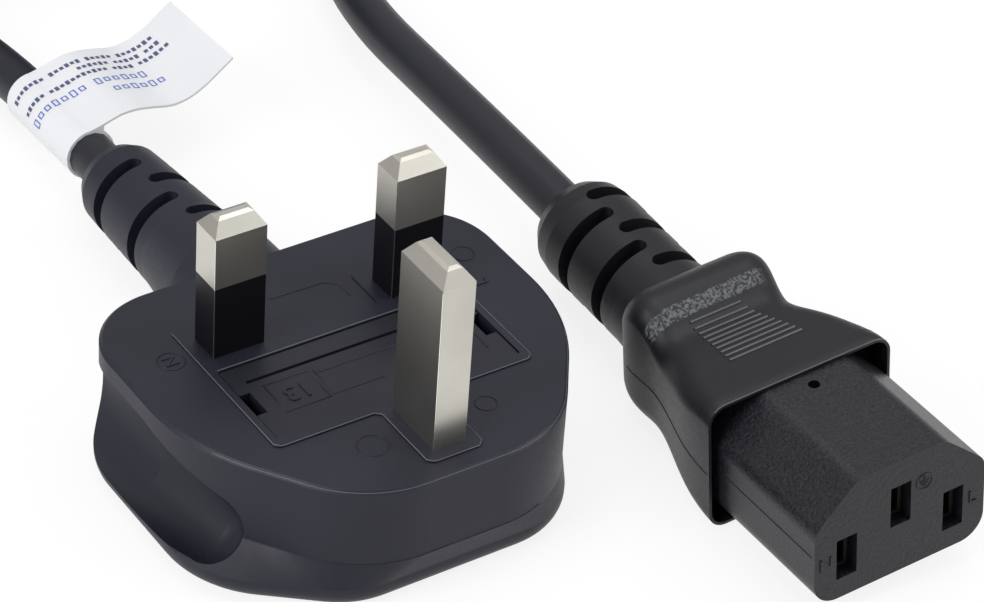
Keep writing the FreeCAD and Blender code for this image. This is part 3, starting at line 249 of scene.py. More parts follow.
# Middle, distance to each side and height of the hood's corner line, and its covered stretch
HOOD_CORNER = (-0.6, 9.3, 7.7)
HOOD_CORNER_REACH = (19.5, 21.4)
# Skin's height over the corner, its directions in degrees, its mesh, and where its rays start
HOOD_SKIN = 0.02
CORNER_ANGLES = (12, 78)
CORNER_STEPS = 12
CORNER_ROWS = 4
CORNER_OUTSIDE = 20

# Connector's parting lines: height, width, and name, node and stretch of each
CONNECTOR_PARTING = 1.4
CONNECTOR_PARTING_WIDTH = 0.14
CONNECTOR_PARTINGS = [
    ("insert_parting", "connector_insert", 0.6, 16.8),
    ("overmould_parting", "connector_body", 17.8, 38.0)]
CONNECTOR_PARTING_STEPS = 24
# Distances beside and above the connector, where rays start
BESIDE = 30
ABOVE = 40

# Marks on the connector's face: letters, earth sign and its ring, and a painted shade disc for the
# pit on its top
CONNECTOR_LETTERS = [
    ("connector_neutral_letter", "N", -9.5, 0.1), ("connector_line_letter", "L", 9.4, 0.3)]
CONNECTOR_LETTER_HEIGHT = 2.3
CONNECTOR_LETTER_RISE = 0.1
FACE_LIFT = 0.02
EARTH_SIGN = (3.0, 5.5)
EARTH_SIGN_LINES = [[(0, 0.7), (0, 0.1)], [(-0.6, 0.1), (0.6, 0.1)], [(-0.4, -0.2), (0.4, -0.2)],
                    [(-0.2, -0.5), (0.2, -0.5)]]
EARTH_SIGN_WIDTH = 0.16
EARTH_RING = 1.0
EARTH_RING_WIDTH = 0.18
PIT_PLACE = (-0.25, 15.3)
PIT_RADIUS = 0.65
PIT_LIFT = 0.03


def metres(point):
    """A point in millimetres as a vector in metres."""
    return Vector(point) * MM


def mix(low, high, share):
    """Between two numbers."""
    return low + (high - low) * share


def smooth(share):
    """Ease from 0 to 1."""
    held = min(max(share, 0.0), 1.0)
    return held * held * (3 - 2 * held)


# Materials

def node(tree, kind, **values):
    """Add a shader node and set its properties or its inputs by name."""
    made = tree.nodes.new(kind)
    for name, value in values.items():
        if name in made.inputs:
            made.inputs[name].default_value = value
        else:
            setattr(made, name, value)
    return made


def blank(name, colour, roughness, metallic=0.0, specular=0.5):
    """A material with one principled shader and object coordinates."""
    made = bpy.data.materials.new(name)
    made.use_nodes = True
    tree = made.node_tree
    shader = tree.nodes["Principled BSDF"]
    shader.inputs["Base Color"].default_value = (*colour, 1)
    shader.inputs["Roughness"].default_value = roughness
    shader.inputs["Metallic"].default_value = metallic
    shader.inputs["Specular IOR Level"].default_value = specular
    place = node(tree, "ShaderNodeTexCoord").outputs["Object"]
    return made, tree, shader, place


def noise(tree, place, scale, detail=3.0):
    """Noise over the surface; the scale counts grains per metre."""
    made = node(tree, "ShaderNodeTexNoise", Scale=scale, Detail=detail)
    tree.links.new(place, made.inputs["Vector"])
    return made.outputs["Fac"]


def shades(tree, shader, factor, colour, spread):
    """Vary the colour round its middle."""
    ramp = node(tree, "ShaderNodeValToRGB")
    ramp.color_ramp.elements[0].position = RAMP_START
    ramp.color_ramp.elements[1].position = RAMP_END
    ramp.color_ramp.elements[0].color = (*(c * (1 - spread) for c in colour), 1)
    ramp.color_ramp.elements[1].color = (*(c * (1 + spread) for c in colour), 1)
    tree.links.new(factor, ramp.inputs["Fac"])
    tree.links.new(ramp.outputs["Color"], shader.inputs["Base Color"])
    return ramp.outputs["Color"]


def vary_roughness(tree, shader, factor, low, high):
    """Spread the roughness between two values."""
    spread = node(tree, "ShaderNodeMapRange")
    spread.inputs["To Min"].default_value = low
    spread.inputs["To Max"].default_value = high
    tree.links.new(factor, spread.inputs["Value"])
    tree.links.new(spread.outputs["Result"], shader.inputs["Roughness"])


def bump(tree, shader, height, depth):
    """Relief on the surface, with its depth in millimetres."""
    made = node(tree, "ShaderNodeBump", Strength=1.0, Distance=depth * MM)
    tree.links.new(height, made.inputs["Height"])
    tree.links.new(made.outputs["Normal"], shader.inputs["Normal"])


def moulded(name, colour, roughness, grain=2200, depth=0.01, spread=0.1, specular=0.5,
            cloud=55):
    """Moulded plastic: fine spark-eroded grain, faint clouds in colour and gloss."""
    made, tree, shader, place = blank(name, colour, roughness, specular=specular)
    fine = noise(tree, place, grain)
    clouds = noise(tree, place, cloud, detail=CLOUD_DETAIL)
    shades(tree, shader, clouds, colour, spread)
    vary_roughness(tree, shader, fine, roughness - GLOSS_SPREAD, roughness + GLOSS_SPREAD)
    bump(tree, shader, fine, depth)
    return made


def nickel(name, colour, roughness):
    """Satin plated metal with faint clouds."""
    made, tree, shader, place = blank(name, colour, roughness, metallic=1.0)
    clouds = noise(tree, place, METAL_CLOUDS)
    shades(tree, shader, clouds, colour, METAL_SPREAD)
    fine = noise(tree, place, METAL_GRAIN)
    below, above = METAL_GLOSS
    vary_roughness(tree, shader, fine, roughness - below, roughness + above)
    bump(tree, shader, fine, METAL_DEPTH)
    return made


def rises(tree, value, low, high):
    """Ease from 0 to 1 while a value goes from one level to another."""
    step = node(tree, "ShaderNodeMapRange", interpolation_type="SMOOTHSTEP")
    step.inputs["From Min"].default_value = low
    step.inputs["From Max"].default_value = high
    tree.links.new(value, step.inputs["Value"])
    return step.outputs["Result"]


def product(tree, first, second):
    """Two values multiplied."""
    made = node(tree, "ShaderNodeMath", operation="MULTIPLY")
    tree.links.new(first, made.inputs[0])
    tree.links.new(second, made.inputs[1])
    return made.outputs["Value"]


def stipple_share(tree, place):
    """1 in the stippled band on the flange's top, and 0 elsewhere."""
    parts = node(tree, "ShaderNodeSeparateXYZ")
    tree.links.new(place, parts.inputs["Vector"])
    start, end = ((CONNECTOR_PLACE[1] + reach) * MM for reach in STIPPLE)
    edge = STIPPLE_EDGE * MM
    along = product(tree, rises(tree, parts.outputs["Y"], start, start + edge),
                    rises(tree, parts.outputs["Y"], end, end - edge))
    low, high = STIPPLE_FLOOR
    above = product(tree, along, rises(tree, parts.outputs["Z"], low * MM, high * MM))
    outer, inner = STIPPLE_SIDE
    return product(tree, above, rises(tree, parts.outputs["X"], outer * MM, inner * MM))


def gripped(name, colour, roughness):
    """Connector's overmould: grained, with a band of coarse stipple on the flange whose specks are
    lightened as painted glints.
    """
    made, tree, shader, place = blank(name, colour, roughness, specular=GRIP_SPECULAR)
    fine = noise(tree, place, GRIP_GRAIN, detail=CLOUD_DETAIL)
    stipple = noise(tree, place, STIPPLE_GRAIN, detail=STIPPLE_DETAIL)
    coarse = product(tree, stipple_share(tree, place), stipple)
    scaled = node(tree, "ShaderNodeMath", operation="MULTIPLY_ADD")
    scaled.inputs[1].default_value = STIPPLE_SHARE
    tree.links.new(coarse, scaled.inputs[0])
    tree.links.new(fine, scaled.inputs[2])
    clouds = noise(tree, place, GRIP_CLOUDS, detail=CLOUD_DETAIL)
    base = shades(tree, shader, clouds, colour, GRIP_SPREAD)
    # Painted glints: the stipple's peaks turn the base colour pale grey.
    painted_glints = node(tree, "ShaderNodeMixRGB")
    painted_glints.inputs["Color2"].default_value = (*PAINTED_GLINT, 1)
    tree.links.new(rises(tree, coarse, *PAINTED_GLINT_RANGE), painted_glints.inputs["Fac"])
    tree.links.new(base, painted_glints.inputs["Color1"])
    tree.links.new(painted_glints.outputs["Color"], shader.inputs["Base Color"])
    below, above = GRIP_GLOSS
    vary_roughness(tree, shader, fine, roughness - below, roughness + above)
    bump(tree, shader, scaled.outputs["Value"], GRIP_DEPTH)
    return made


def two_colours(name, first, second, pitch):
    """Earth core: green with a yellow band along it."""
    made, tree, shader, place = blank(name, first, CORE_ROUGHNESS)
    wave = node(tree, "ShaderNodeTexWave", Scale=1 / (pitch * MM), bands_direction="X")
    tree.links.new(place, wave.inputs["Vector"])
    ramp = node(tree, "ShaderNodeValToRGB")
    ramp.color_ramp.interpolation = "CONSTANT"
    ramp.color_ramp.elements[0].color = (*first, 1)
    ramp.color_ramp.elements[1].color = (*second, 1)
    ramp.color_ramp.elements[1].position = CORE_BAND
    tree.links.new(wave.outputs["Fac"], ramp.inputs["Fac"])
    tree.links.new(ramp.outputs["Color"], shader.inputs["Base Color"])
    bump(tree, shader, noise(tree, place, CORE_GRAIN), CORE_DEPTH)
    return made


# Name, colour and roughness, then grain, the grain's depth and the colour's spread
MATERIALS = {
    "plug": moulded("plug pvc", PLUG_GREY, 0.46, specular=0.28),
    "bridge": moulded("bridge plastic", PLUG_GREY, 0.42, 2600, 0.006, specular=0.28),
    "carrier": moulded("carrier plastic", (0.0115, 0.012, 0.018), 0.42, 2600, 0.006,
                       specular=0.28),
    "sleeve": moulded("sleeve plastic", (0.004, 0.004, 0.006), 0.34, 60, 0.0, 0.05, 0.2),
    "cord": moulded("cord pvc", (0.013, 0.0135, 0.019), 0.42, 1800, 0.004, specular=0.3),
    "connector": gripped("connector pvc", (0.0088, 0.0089, 0.0122), 0.42),
    "insert": moulded("insert plastic", (0.0092, 0.0094, 0.0128), 0.38, 3200, 0.05, 0.75,
                      specular=0.34, cloud=3200),
    # Painted highlight: ribs and the hood's edge in a grey much lighter than the overmould.
    "rib": moulded("rib pvc", (0.055, 0.057, 0.060), 0.34, 1900, 0.004, specular=0.6),
    # Painted shade: near black with no shine, for the inside of the pit.
    "pit_shade": moulded("pit_shade", (0.0015, 0.0015, 0.0015), 0.9, 1900, 0.0, specular=0.0),
    # Painted highlight: a grey lighter than the plug, for the frame's edges and the rim.
    "painted_highlight": moulded("worn edge", (0.066, 0.070, 0.078), 0.34, 1900, 0.004, specular=0.5),
    # Painted highlights: beads on the pins' and sleeves' corners, lighter than the pins and
    # sleeves.
    "bright": nickel("worn pin edge", (0.92, 0.90, 0.84), 0.22),
    "sleeve_edge": moulded("worn sleeve edge", (0.035, 0.035, 0.040), 0.3, 900, 0.0, 0.05),
    "pin": nickel("pin nickel", (0.60, 0.58, 0.52), 0.30),
    "cap": nickel("cap nickel", (0.66, 0.64, 0.60), 0.25),
    "brass": nickel("brass", (0.72, 0.52, 0.24), 0.3),
    # Painted shade: the contacts are darkened to near black for the shade inside the connector's
    # slots.
    "contact": nickel("shade_darkened contact metal", (0.035, 0.033, 0.030), 0.6),
    "ceramic": moulded("ceramic", (0.80, 0.78, 0.72), 0.35, 900, 0.004, 0.03),
    "wire": nickel("fuse wire", (0.75, 0.42, 0.26), 0.3),
    "brown": moulded("core brown", (0.12, 0.05, 0.02), CORE_ROUGHNESS, CORE_GRAIN, CORE_DEPTH),
    "blue": moulded("core blue", (0.03, 0.12, 0.45), CORE_ROUGHNESS, CORE_GRAIN, CORE_DEPTH),
    "earth": two_colours("core green and yellow", (0.04, 0.25, 0.05), (0.65, 0.55, 0.03), 2.0),
    "label": moulded("label film", (0.60, 0.61, 0.63), 0.5, 700, 0.004, 0.03),
    "print": moulded("label print", (0.06, 0.07, 0.16), 0.6, 900, 0.002),
    "print_blue": moulded("label print blue", (0.07, 0.12, 0.42), 0.6, 900, 0.002),
}

NODE_FINISH = {
    "plug": ["plug_body"],
    "bridge": ["pin_bridge"],
    "carrier": ["fuse_carrier"],
    "sleeve": ["line_pin_sleeve", "neutral_pin_sleeve"],
    "pin": ["line_pin", "neutral_pin", "earth_pin"],
    "cap": ["fuse_cap_pin_side", "fuse_cap_cord_side"],
    "brass": ["fuse_clip_pin_side", "fuse_clip_cord_side", "line_crimp", "neutral_crimp",
              "earth_crimp"],
    "contact": ["connector_contact_line", "connector_contact_neutral",
                "connector_contact_earth"],
    "ceramic": ["fuse_tube"],
    "wire": ["fuse_wire"],
    "brown": ["line_core", "connector_core_line"],
    "blue": ["neutral_core", "connector_core_neutral"],
    "earth": ["earth_core", "connector_core_earth"],
    "connector": ["connector_body"],
    "insert": ["connector_insert"],
}


def finish_nodes():
    """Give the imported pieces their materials."""
    for finish, names in NODE_FINISH.items():
        for name in names:
            for place in NODES[name].material_slots:
                place.material = MATERIALS[finish]


# Camera and light

def make_camera():
    """Camera at the photograph's angle."""
    azimuth = math.radians(CAMERA_AZIMUTH)
    elevation = math.radians(CAMERA_ELEVATION)
    roll = math.radians(CAMERA_ROLL)
    back = Vector((math.sin(azimuth) * math.cos(elevation),
                   -math.cos(azimuth) * math.cos(elevation), math.sin(elevation)))
    right = Vector((math.cos(azimuth), math.sin(azimuth), 0))
    up = back.cross(right)
    across = right * math.cos(roll) + up * math.sin(roll)
    above = up * math.cos(roll) - right * math.sin(roll)
    lens = bpy.data.cameras.new("camera")
    lens.lens = CAMERA_LENS
    lens.sensor_width = SENSOR_WIDTH
    lens.clip_start = CLIP_START
    lens.clip_end = CLIP_END
    camera = bpy.data.objects.new("camera", lens)
    turn = Matrix((across, above, back)).transposed().to_4x4()
    place = metres(CAMERA_TARGET) + back * CAMERA_DISTANCE * MM
    camera.matrix_world = Matrix.Translation(place) @ turn
    bpy.context.scene.collection.objects.link(camera)
    bpy.context.scene.camera = camera


def area_light(name, place, target, width, height, power):
    """Soft box that faces a point."""
    lamp = bpy.data.lights.new(name, "AREA")
    lamp.shape = "RECTANGLE"
    lamp.size = width
    lamp.size_y = height
    lamp.energy = power
    made = bpy.data.objects.new(name, lamp)
    made.location = place
    made.rotation_euler = (Vector(target) - Vector(place)).to_track_quat("-Z", "Y").to_euler()
    bpy.context.scene.collection.objects.link(made)


def seen(tree):
    """1 for camera, glossy and transmission rays, and 0 for light that falls on things."""
    path = node(tree, "ShaderNodeLightPath")
    total = path.outputs["Is Camera Ray"]
    for ray in ("Is Glossy Ray", "Is Transmission Ray"):
        either = node(tree, "ShaderNodeMath", operation="MAXIMUM")
        tree.links.new(total, either.inputs[0])
        tree.links.new(path.outputs[ray], either.inputs[1])
        total = either.outputs["Value"]
    return total


def mirrored(tree):
    """Background in reflections: dim above and dimmer near the horizon."""
    parts = node(tree, "ShaderNodeSeparateXYZ")
    tree.links.new(node(tree, "ShaderNodeTexCoord").outputs["Generated"], parts.inputs["Vector"])
    height = node(tree, "ShaderNodeMapRange", interpolation_type="SMOOTHSTEP", **MIRRORED_LIGHT)
    tree.links.new(parts.outputs["Z"], height.inputs["Value"])
    sky = node(tree, "ShaderNodeBackground", Color=(1, 1, 1, 1))
    tree.links.new(height.outputs["Result"], sky.inputs["Strength"])
    return sky.outputs["Background"]


def make_world():
    """Plain soft light from all round, white where it is seen."""
    world = bpy.data.worlds.new("studio")
    world.use_nodes = True
    tree = world.node_tree
    soft = tree.nodes["Background"]
    soft.inputs["Color"].default_value = (1, 1, 1, 1)
    soft.inputs["Strength"].default_value = SKY_LIGHT
    white = node(tree, "ShaderNodeBackground", Color=(1, 1, 1, 1), Strength=1.0)
    both = node(tree, "ShaderNodeMixShader")
    tree.links.new(seen(tree), both.inputs["Fac"])
    tree.links.new(soft.outputs["Background"], both.inputs[1])
    tree.links.new(white.outputs["Background"], both.inputs[2])
    last = node(tree, "ShaderNodeMixShader")
    glossy = node(tree, "ShaderNodeLightPath").outputs["Is Glossy Ray"]
    tree.links.new(glossy, last.inputs["Fac"])
    tree.links.new(both.outputs["Shader"], last.inputs[1])
    tree.links.new(mirrored(tree), last.inputs[2])
    tree.links.new(last.outputs["Shader"], tree.nodes["World Output"].inputs["Surface"])
    bpy.context.scene.world = world


def make_floor():
    """Pale floor that keeps the shadow."""
    mesh = bpy.data.meshes.new("floor")
    corners = ((-1, -1), (1, -1), (1, 1), (-1, 1))
    mesh.from_pydata([(x * FLOOR_REACH, y * FLOOR_REACH, 0) for x, y in corners], [],
                     [(0, 1, 2, 3)])
    floor = bpy.data.objects.new("floor", mesh)
    bpy.context.scene.collection.objects.link(floor)
    made, tree, shader, _ = blank("floor", FLOOR_GREY, FLOOR_ROUGHNESS, specular=0.0)
    glow = node(tree, "ShaderNodeEmission", Color=(1, 1, 1, 1), Strength=1.0)
    share = node(tree, "ShaderNodeMath", operation="MULTIPLY")
    share.inputs[1].default_value = FLOOR_GLOW
    tree.links.new(seen(tree), share.inputs[0])
    both = node(tree, "ShaderNodeMixShader")
    tree.links.new(share.outputs["Value"], both.inputs["Fac"])
    tree.links.new(shader.outputs["BSDF"], both.inputs[1])
    tree.links.new(glow.outputs["Emission"], both.inputs[2])
    output = tree.nodes["Material Output"]
    tree.links.new(both.outputs["Shader"], output.inputs["Surface"])
    mesh.materials.append(made)


def make_lights():
    """Soft boxes: one above, one from the left and a weaker one from the right."""
    for name, place, width, height, power in SOFT_BOXES:
        area_light(name, place, metres(LIGHT_TARGET), width, height, power)


# Pieces

def finished(made, material, body="root"):
    """Give a piece its material and the body that it rides on."""
    made.data.materials.append(MATERIALS[material])
    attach(made, body)
    return made


def mesh_piece(name, points, faces, material, round_shading=True):
    """A mesh from points in millimetres."""
    mesh = bpy.data.meshes.new(name)
    mesh.from_pydata([metres(p) for p in points], [], faces)
    mesh.validate()
    if round_shading:
        mesh.shade_smooth()
    made = bpy.data.objects.new(name, mesh)
    bpy.context.scene.collection.objects.link(made)
    return finished(made, material)


def line_piece(name, lines, width, material, body="root", closed=False):
    """Fine raised lines: each a row of points that a thin round bead follows."""
    curve = bpy.data.curves.new(name, "CURVE")
    curve.dimensions = "3D"
    curve.bevel_depth = width / 2 * MM
    curve.bevel_resolution = LINE_ROUNDNESS
    for points in lines:
        spline = curve.splines.new("POLY")
        spline.points.add(len(points) - 1)
        for knot, point in zip(spline.points, points):
            knot.co = (*metres(point), 1)
        spline.use_cyclic_u = closed
    made = bpy.data.objects.new(name, curve)
    bpy.context.scene.collection.objects.link(made)
    return finished(made, material, body)


def text_piece(name, words, place, height, across, upward, material, body="root",
               rise=LETTER_RISE):
    """Raised letters whose baseline runs along one direction and whose tops point to another."""
    curve = bpy.data.curves.new(name, "FONT")
    curve.body = words
    curve.size = height * MM
    curve.extrude = rise * MM
    curve.align_x = "CENTER"
    curve.align_y = "CENTER"
    made = bpy.data.objects.new(name, curve)
    first = Vector(across).normalized()
    second = Vector(upward).normalized()
    turn = Matrix((first, second, first.cross(second))).transposed().to_4x4()
    made.matrix_world = Matrix.Translation(metres(place)) @ turn
    bpy.context.scene.collection.objects.link(made)
    bpy.context.view_layer.update()
    return finished(made, material, body)


def ring(x, y, z, radius):
    """Points of a level circle."""
    angles = [2 * math.pi * i / RING_POINTS for i in range(RING_POINTS)]
    return [(x + radius * math.cos(angle), y + radius * math.sin(angle), z) for angle in angles]


def level(points, z):
    """Points of a flat drawing, at a level."""
    return [(x, y, z) for x, y in points]


# Cord

def coil_seat(angle):
    """Column and layer of the coil at an angle from its start, in degrees."""
    place = 0.0
    for change in range(len(COIL_SEATS) - 1):
        centre = 360 * (change + 1) - FIRST_CHANGE - CHANGE_STEP * change
        place += smooth((angle - centre) / CHANGE_WIDTH + 0.5)
    seat = min(int(place), len(COIL_SEATS) - 2)
    share = place - seat
    (column, layer), (next_column, next_layer) = COIL_SEATS[seat:seat + 2]
    return mix(column, next_column, share), mix(layer, next_layer, share)


def coil_points():
    """The coil's turns, clockwise from above, turn beside turn and layer on layer."""
    step = 360 / POINTS_PER_TURN
    widen = 1 / math.cos(math.radians(step / 2))
    points = []
    for index in range(int(COIL_TURNS * POINTS_PER_TURN) + 1):
        column, layer = coil_seat(index * step)
        radius = (COIL_RADIUS + column * CORD_DIAMETER / 2) * widen
        angle = math.radians(COIL_START - index * step)
        points.append((COIL_MIDDLE[0] + radius * math.cos(angle),
                       COIL_MIDDLE[1] + radius * math.sin(angle),
                       CORD_DIAMETER * (layer + 0.5) + COIL_CLEARANCE))
    return points


def make_cord():
    """The whole cord: out of the plug, through the coil and into the connector."""
    start = Vector(RELIEF_EXIT)
    end = Vector(CONNECTOR_EXIT)
    points = [start, start + Vector(RELIEF_HEADING) * FIRST_RUN, *PLUG_CORD_ROUTE]
    points += coil_points()
    points += [*reversed(CONNECTOR_CORD_ROUTE), end + Vector(CONNECTOR_HEADING) * FIRST_RUN, end]
    curve = bpy.data.curves.new("cord", "CURVE")
    curve.dimensions = "3D"
    curve.bevel_depth = CORD_DIAMETER / 2 * MM
    curve.bevel_resolution = CORD_ROUNDNESS
    curve.resolution_u = CORD_STEPS
    spline = curve.splines.new("NURBS")
    spline.points.add(len(points) - 1)
    for knot, point in zip(spline.points, points):
        knot.co = (*metres(point), 1)
    spline.order_u = CORD_ORDER
    spline.use_endpoint_u = True
    cord = bpy.data.objects.new("cord", curve)
    bpy.context.scene.collection.objects.link(cord)
    finished(cord, "cord")
    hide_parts("cord_plug_side", "cord_coil", "cord_connector_side")
    metres(RELIEF_EXIT)


# Label

def flag_height(reach):
    """Label's flag above the cord's axis, at a distance to the side."""
    last = len(FLAG_LINE) - 1
    i = next(k for k in range(last) if reach <= FLAG_LINE[k + 1][0] or k == last - 1)
    (x0, z0), (x1, z1) = FLAG_LINE[i:i + 2]
    step = x1 - x0
    slopes = []
    for knot in (i, i + 1):
        before = FLAG_LINE[max(knot - 1, 0)]
        after = FLAG_LINE[min(knot + 1, last)]
        slopes.append((after[1] - before[1]) / (after[0] - before[0]) * step)
    s = (reach - x0) / step
    rise = (z0 * (1 - s) ** 2 * (1 + 2 * s) + z1 * s * s * (3 - 2 * s)
            + slopes[0] * s * (1 - s) ** 2 - slopes[1] * s * s * (1 - s))
    return CORD_DIAMETER / 2 + rise


def label_place(across, along, above):
    """A point on the label, from the cord's axis."""
    heading = Vector(RELIEF_HEADING)
    side = Vector((1, 0, 0))
    up = side.cross(heading)
    return (Vector(RELIEF_EXIT) + heading * (LABEL_START + along) + side * across + up * above)


def label_section():
    """Closed section: along the flag's top, round the cord and back under the flag."""
    sides = [FLAG_LINE[-1][0] * (1 - i / FLAG_STEPS) for i in range(FLAG_STEPS)]
    top = [(side, flag_height(side) + LABEL_FILM / 2) for side in sides]
    radius = CORD_DIAMETER / 2 + LABEL_FILM
    angles = [math.radians(mix(WRAP_STARTS_AT, WRAP_LEAVES_AT, i / WRAP_STEPS))
              for i in range(WRAP_STEPS + 1)]
    wrap = [(radius * math.cos(angle), radius * math.sin(angle)) for angle in angles]
    under = [(x, z - LABEL_FILM) for x, z in reversed(top) if x >= FLAG_JOIN]
    return top + wrap + under


def make_label():
    """White flag label, wrapped round the cord, with plain bars for its print."""
    section = label_section()
    count = len(section)
    points = []
    for row in range(LABEL_ROWS + 1):
        points += [label_place(x, LABEL_WIDTH * row / LABEL_ROWS, z) for x, z in section]
    faces = []
    for row in range(LABEL_ROWS):
        for i in range(count):
            j = (i + 1) % count
            faces.append((row * count + i, row * count + j, (row + 1) * count + j,
                          (row + 1) * count + i))
    faces.append(tuple(range(count)))
    faces.append(tuple(reversed(range(LABEL_ROWS * count, (LABEL_ROWS + 1) * count))))
    label = mesh_piece("flag_label", points, faces, "label", round_shading=False)
    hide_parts("cord_label")
    return [label] + label_print()


def label_top(across):
    """The label's outer side, from the flag's end round the cord's far side."""
    lift = LABEL_FILM / 2 + PRINT_RISE
    if across >= 0:
        return across, flag_height(across) + lift
    radius = CORD_DIAMETER / 2 + LABEL_FILM + PRINT_RISE
    angle = math.pi / 2 - across / radius
    return radius * math.cos(angle), radius * math.sin(angle)


def printed_bar(along, start, end, height, points, faces):
    """Add a bar of print that follows the label to a mesh's points and faces."""
    first = len(points)
    for i in range(BAR_STEPS + 1):
        x, z = label_top(mix(start, end, i / BAR_STEPS))
        points += [label_place(x, along + side * height / 2, z) for side in (-1, 1)]
    faces += [(i, i + 1, i + 3, i + 2) for i in range(first, first + 2 * BAR_STEPS, 2)]


def open_box(along, start, end, height, points, faces):
    """Add the outline of a box to the print."""
    for side in (-1, 1):
        printed_bar(along + side * (height - STROKE) / 2, start, end, STROKE, points, faces)
    for left in (start, end - STROKE):
        printed_bar(along, left, left + STROKE, height, points, faces)


def letters(row, start, end, height):
    """Start, end and height of the marks that stand for a row's letters."""
    spot = start
    word = row
    letter = 0
    while spot + height * LETTER_WIDTH < end:
        share = LETTER_HEIGHTS[(letter + row) % len(LETTER_HEIGHTS)]
        yield spot, spot + height * LETTER_WIDTH, height * share
        spot += height * LETTER_STEP
        letter += 1
        if letter == WORDS[word % len(WORDS)]:
            spot += height * WORD_STEP
            word += 1
            letter = 0


def label_print():
    """Rows of plain marks instead of words."""
    prints = []
    for material, rows, mark in (("print", PRINT_ROWS, printed_bar),
                                 ("print_blue", BLUE_ROWS, open_box)):
        points = []
        faces = []
        for row, (along, start, end, height) in enumerate(rows):
            for first, last, tall in letters(row, start, end, height):
                mark(along, first, last, tall, points, faces)
        prints.append(mesh_piece("label_" + material, points, faces, material))
    return prints


# Plug details

def make_plug_marks():
    """Raised rings, pole letters, the fuse's rating and the fine lines on the pin face."""
    for name, rings in (("gate_rings", GATE_RINGS), ("pole_ring", [POLE_RING])):
        circles = [ring(x, y, PIN_FACE, radius) for x, y, radius in rings]
        line_piece(name, circles, RING_WIDTH, "plug", closed=True)
    for name, letter, place in POLE_LETTERS:
        text_piece(name, letter, (*place, PIN_FACE), POLE_LETTER_HEIGHT, (0, 1, 0), (-1, 0, 0),
                   "plug")
    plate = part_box("fuse_carrier")[1].z / MM
    line_piece("rating_square", [level(RATING_SQUARE, plate)], SQUARE_WIDTH, "carrier",
               "fuse_drawer", closed=True)
    text_piece("rating", "13", (*RATING_PLACE, plate), RATING_HEIGHT, (-1, 0, 0), (0, -1, 0),
               "carrier", "fuse_drawer")
    line_piece("panel_lines", [level(line, plate) for line in PANEL_LINES], PANEL_WIDTH,
               "carrier", "fuse_drawer")
    line_piece("plateau_edge", [level(PLATEAU_EDGE, PIN_FACE)], PLATEAU_WIDTH, "plug")


# Painted highlights on edges

def corner_lines(name, low, high, corners):
    """Upright lines along a pin's or sleeve's corners, in millimetres."""
    first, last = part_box(name)
    across = (first.x / MM, last.x / MM)
    along = (first.y / MM, last.y / MM)
    return [[(across[i], along[j], low), (across[i], along[j], high)] for i, j in corners]


def make_painted_highlight_edges():
    """Painted highlights: thin lighter lines on the bridge's frame and on the corners of pins and
    sleeves.
    """
    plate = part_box("pin_bridge")[1].z / MM
    lines = [level(line, plate) for line in [*FRAME_LINES, CARRIER_BACK]]
    line_piece("frame_edges", lines, FRAME_EDGE, "painted_highlight")
    pins = []
    sleeves = []
    for pin, sleeve in (("line_pin", "line_pin_sleeve"), ("neutral_pin", "neutral_pin_sleeve")):
        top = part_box(sleeve)[1].z / MM
        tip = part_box(pin)[1].z / MM - PIN_TIP
        pins += corner_lines(pin, top, tip, [(0, 0)])
        sleeves += corner_lines(sleeve, PIN_FACE, top, [(0, 0)])
    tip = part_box("earth_pin")[1].z / MM - PIN_TIP
    pins += corner_lines("earth_pin", PIN_FACE, tip, [(0, 0)])
    # Painted highlights on the corners of the pins and the sleeves.
    line_piece("pin_edges", pins, PIN_EDGE, "bright")
    line_piece("sleeve_edges", sleeves, PIN_EDGE, "sleeve_edge")


# Parting lines

def surface_of(name):
    """A function that finds where a ray first meets a node."""
    mesh = NODES[name].data
    tree = BVHTree.FromPolygons([v.co for v in mesh.vertices],
                                [tuple(p.vertices) for p in mesh.polygons])

    def spot(start, way):
        hit = tree.ray_cast(metres(start), Vector(way))[0]
        return hit / MM if hit else None
    return spot


def round_plug(height, first, last):
    """Points on the plug's outside at one level, between two directions from its middle."""
    spot = surface_of("plug_body")
    line = []
    for i in range(PARTING_STEPS + 1):
        angle = math.radians(mix(first, last, i / PARTING_STEPS))
        way = Vector((math.cos(angle), math.sin(angle), 0))
        line.append(spot(Vector((*PARTING_MIDDLE, height)) + way * OUTSIDE, -way))
    return line


def make_plug_parting():
    """Fine line round the plug's front wall, where the mould's halves meet, and a painted
    highlight along its rim.
    """
    parting = round_plug(PARTING_LEVEL, PARTING_FROM, PARTING_TO)
    line_piece("plug_parting", [parting], PARTING_WIDTH, "plug")
    rim = round_plug(PIN_FACE - RIM_DROP, RIM_FROM, RIM_TO)
    line_piece("plug_rim", [rim], RIM_WIDTH, "painted_highlight")


# Connector details

def connector_turn():
    """The connector's rotation."""
    turns = [(CONNECTOR_YAW, "Z"), (CONNECTOR_PITCH, "X"), (CONNECTOR_ROLL, "Y")]
    total = Matrix.Identity(3)
    for angle, axis in turns:
        total = total @ Matrix.Rotation(math.radians(angle), 3, axis)
    return total


def connector_point(x, y, z):
    """A point from the middle of the contacts' line on the connector's face."""
    return Vector(CONNECTOR_PLACE) + connector_turn() @ Vector((x, y, z))


def top_of(name):
    """A function that finds where a node's top lies above a place on the connector."""
    surface = surface_of(name)
    down = connector_turn() @ Vector((0, 0, -1))

    def spot(x, y):
        return surface(connector_point(x, y, ABOVE), down)
    return spot


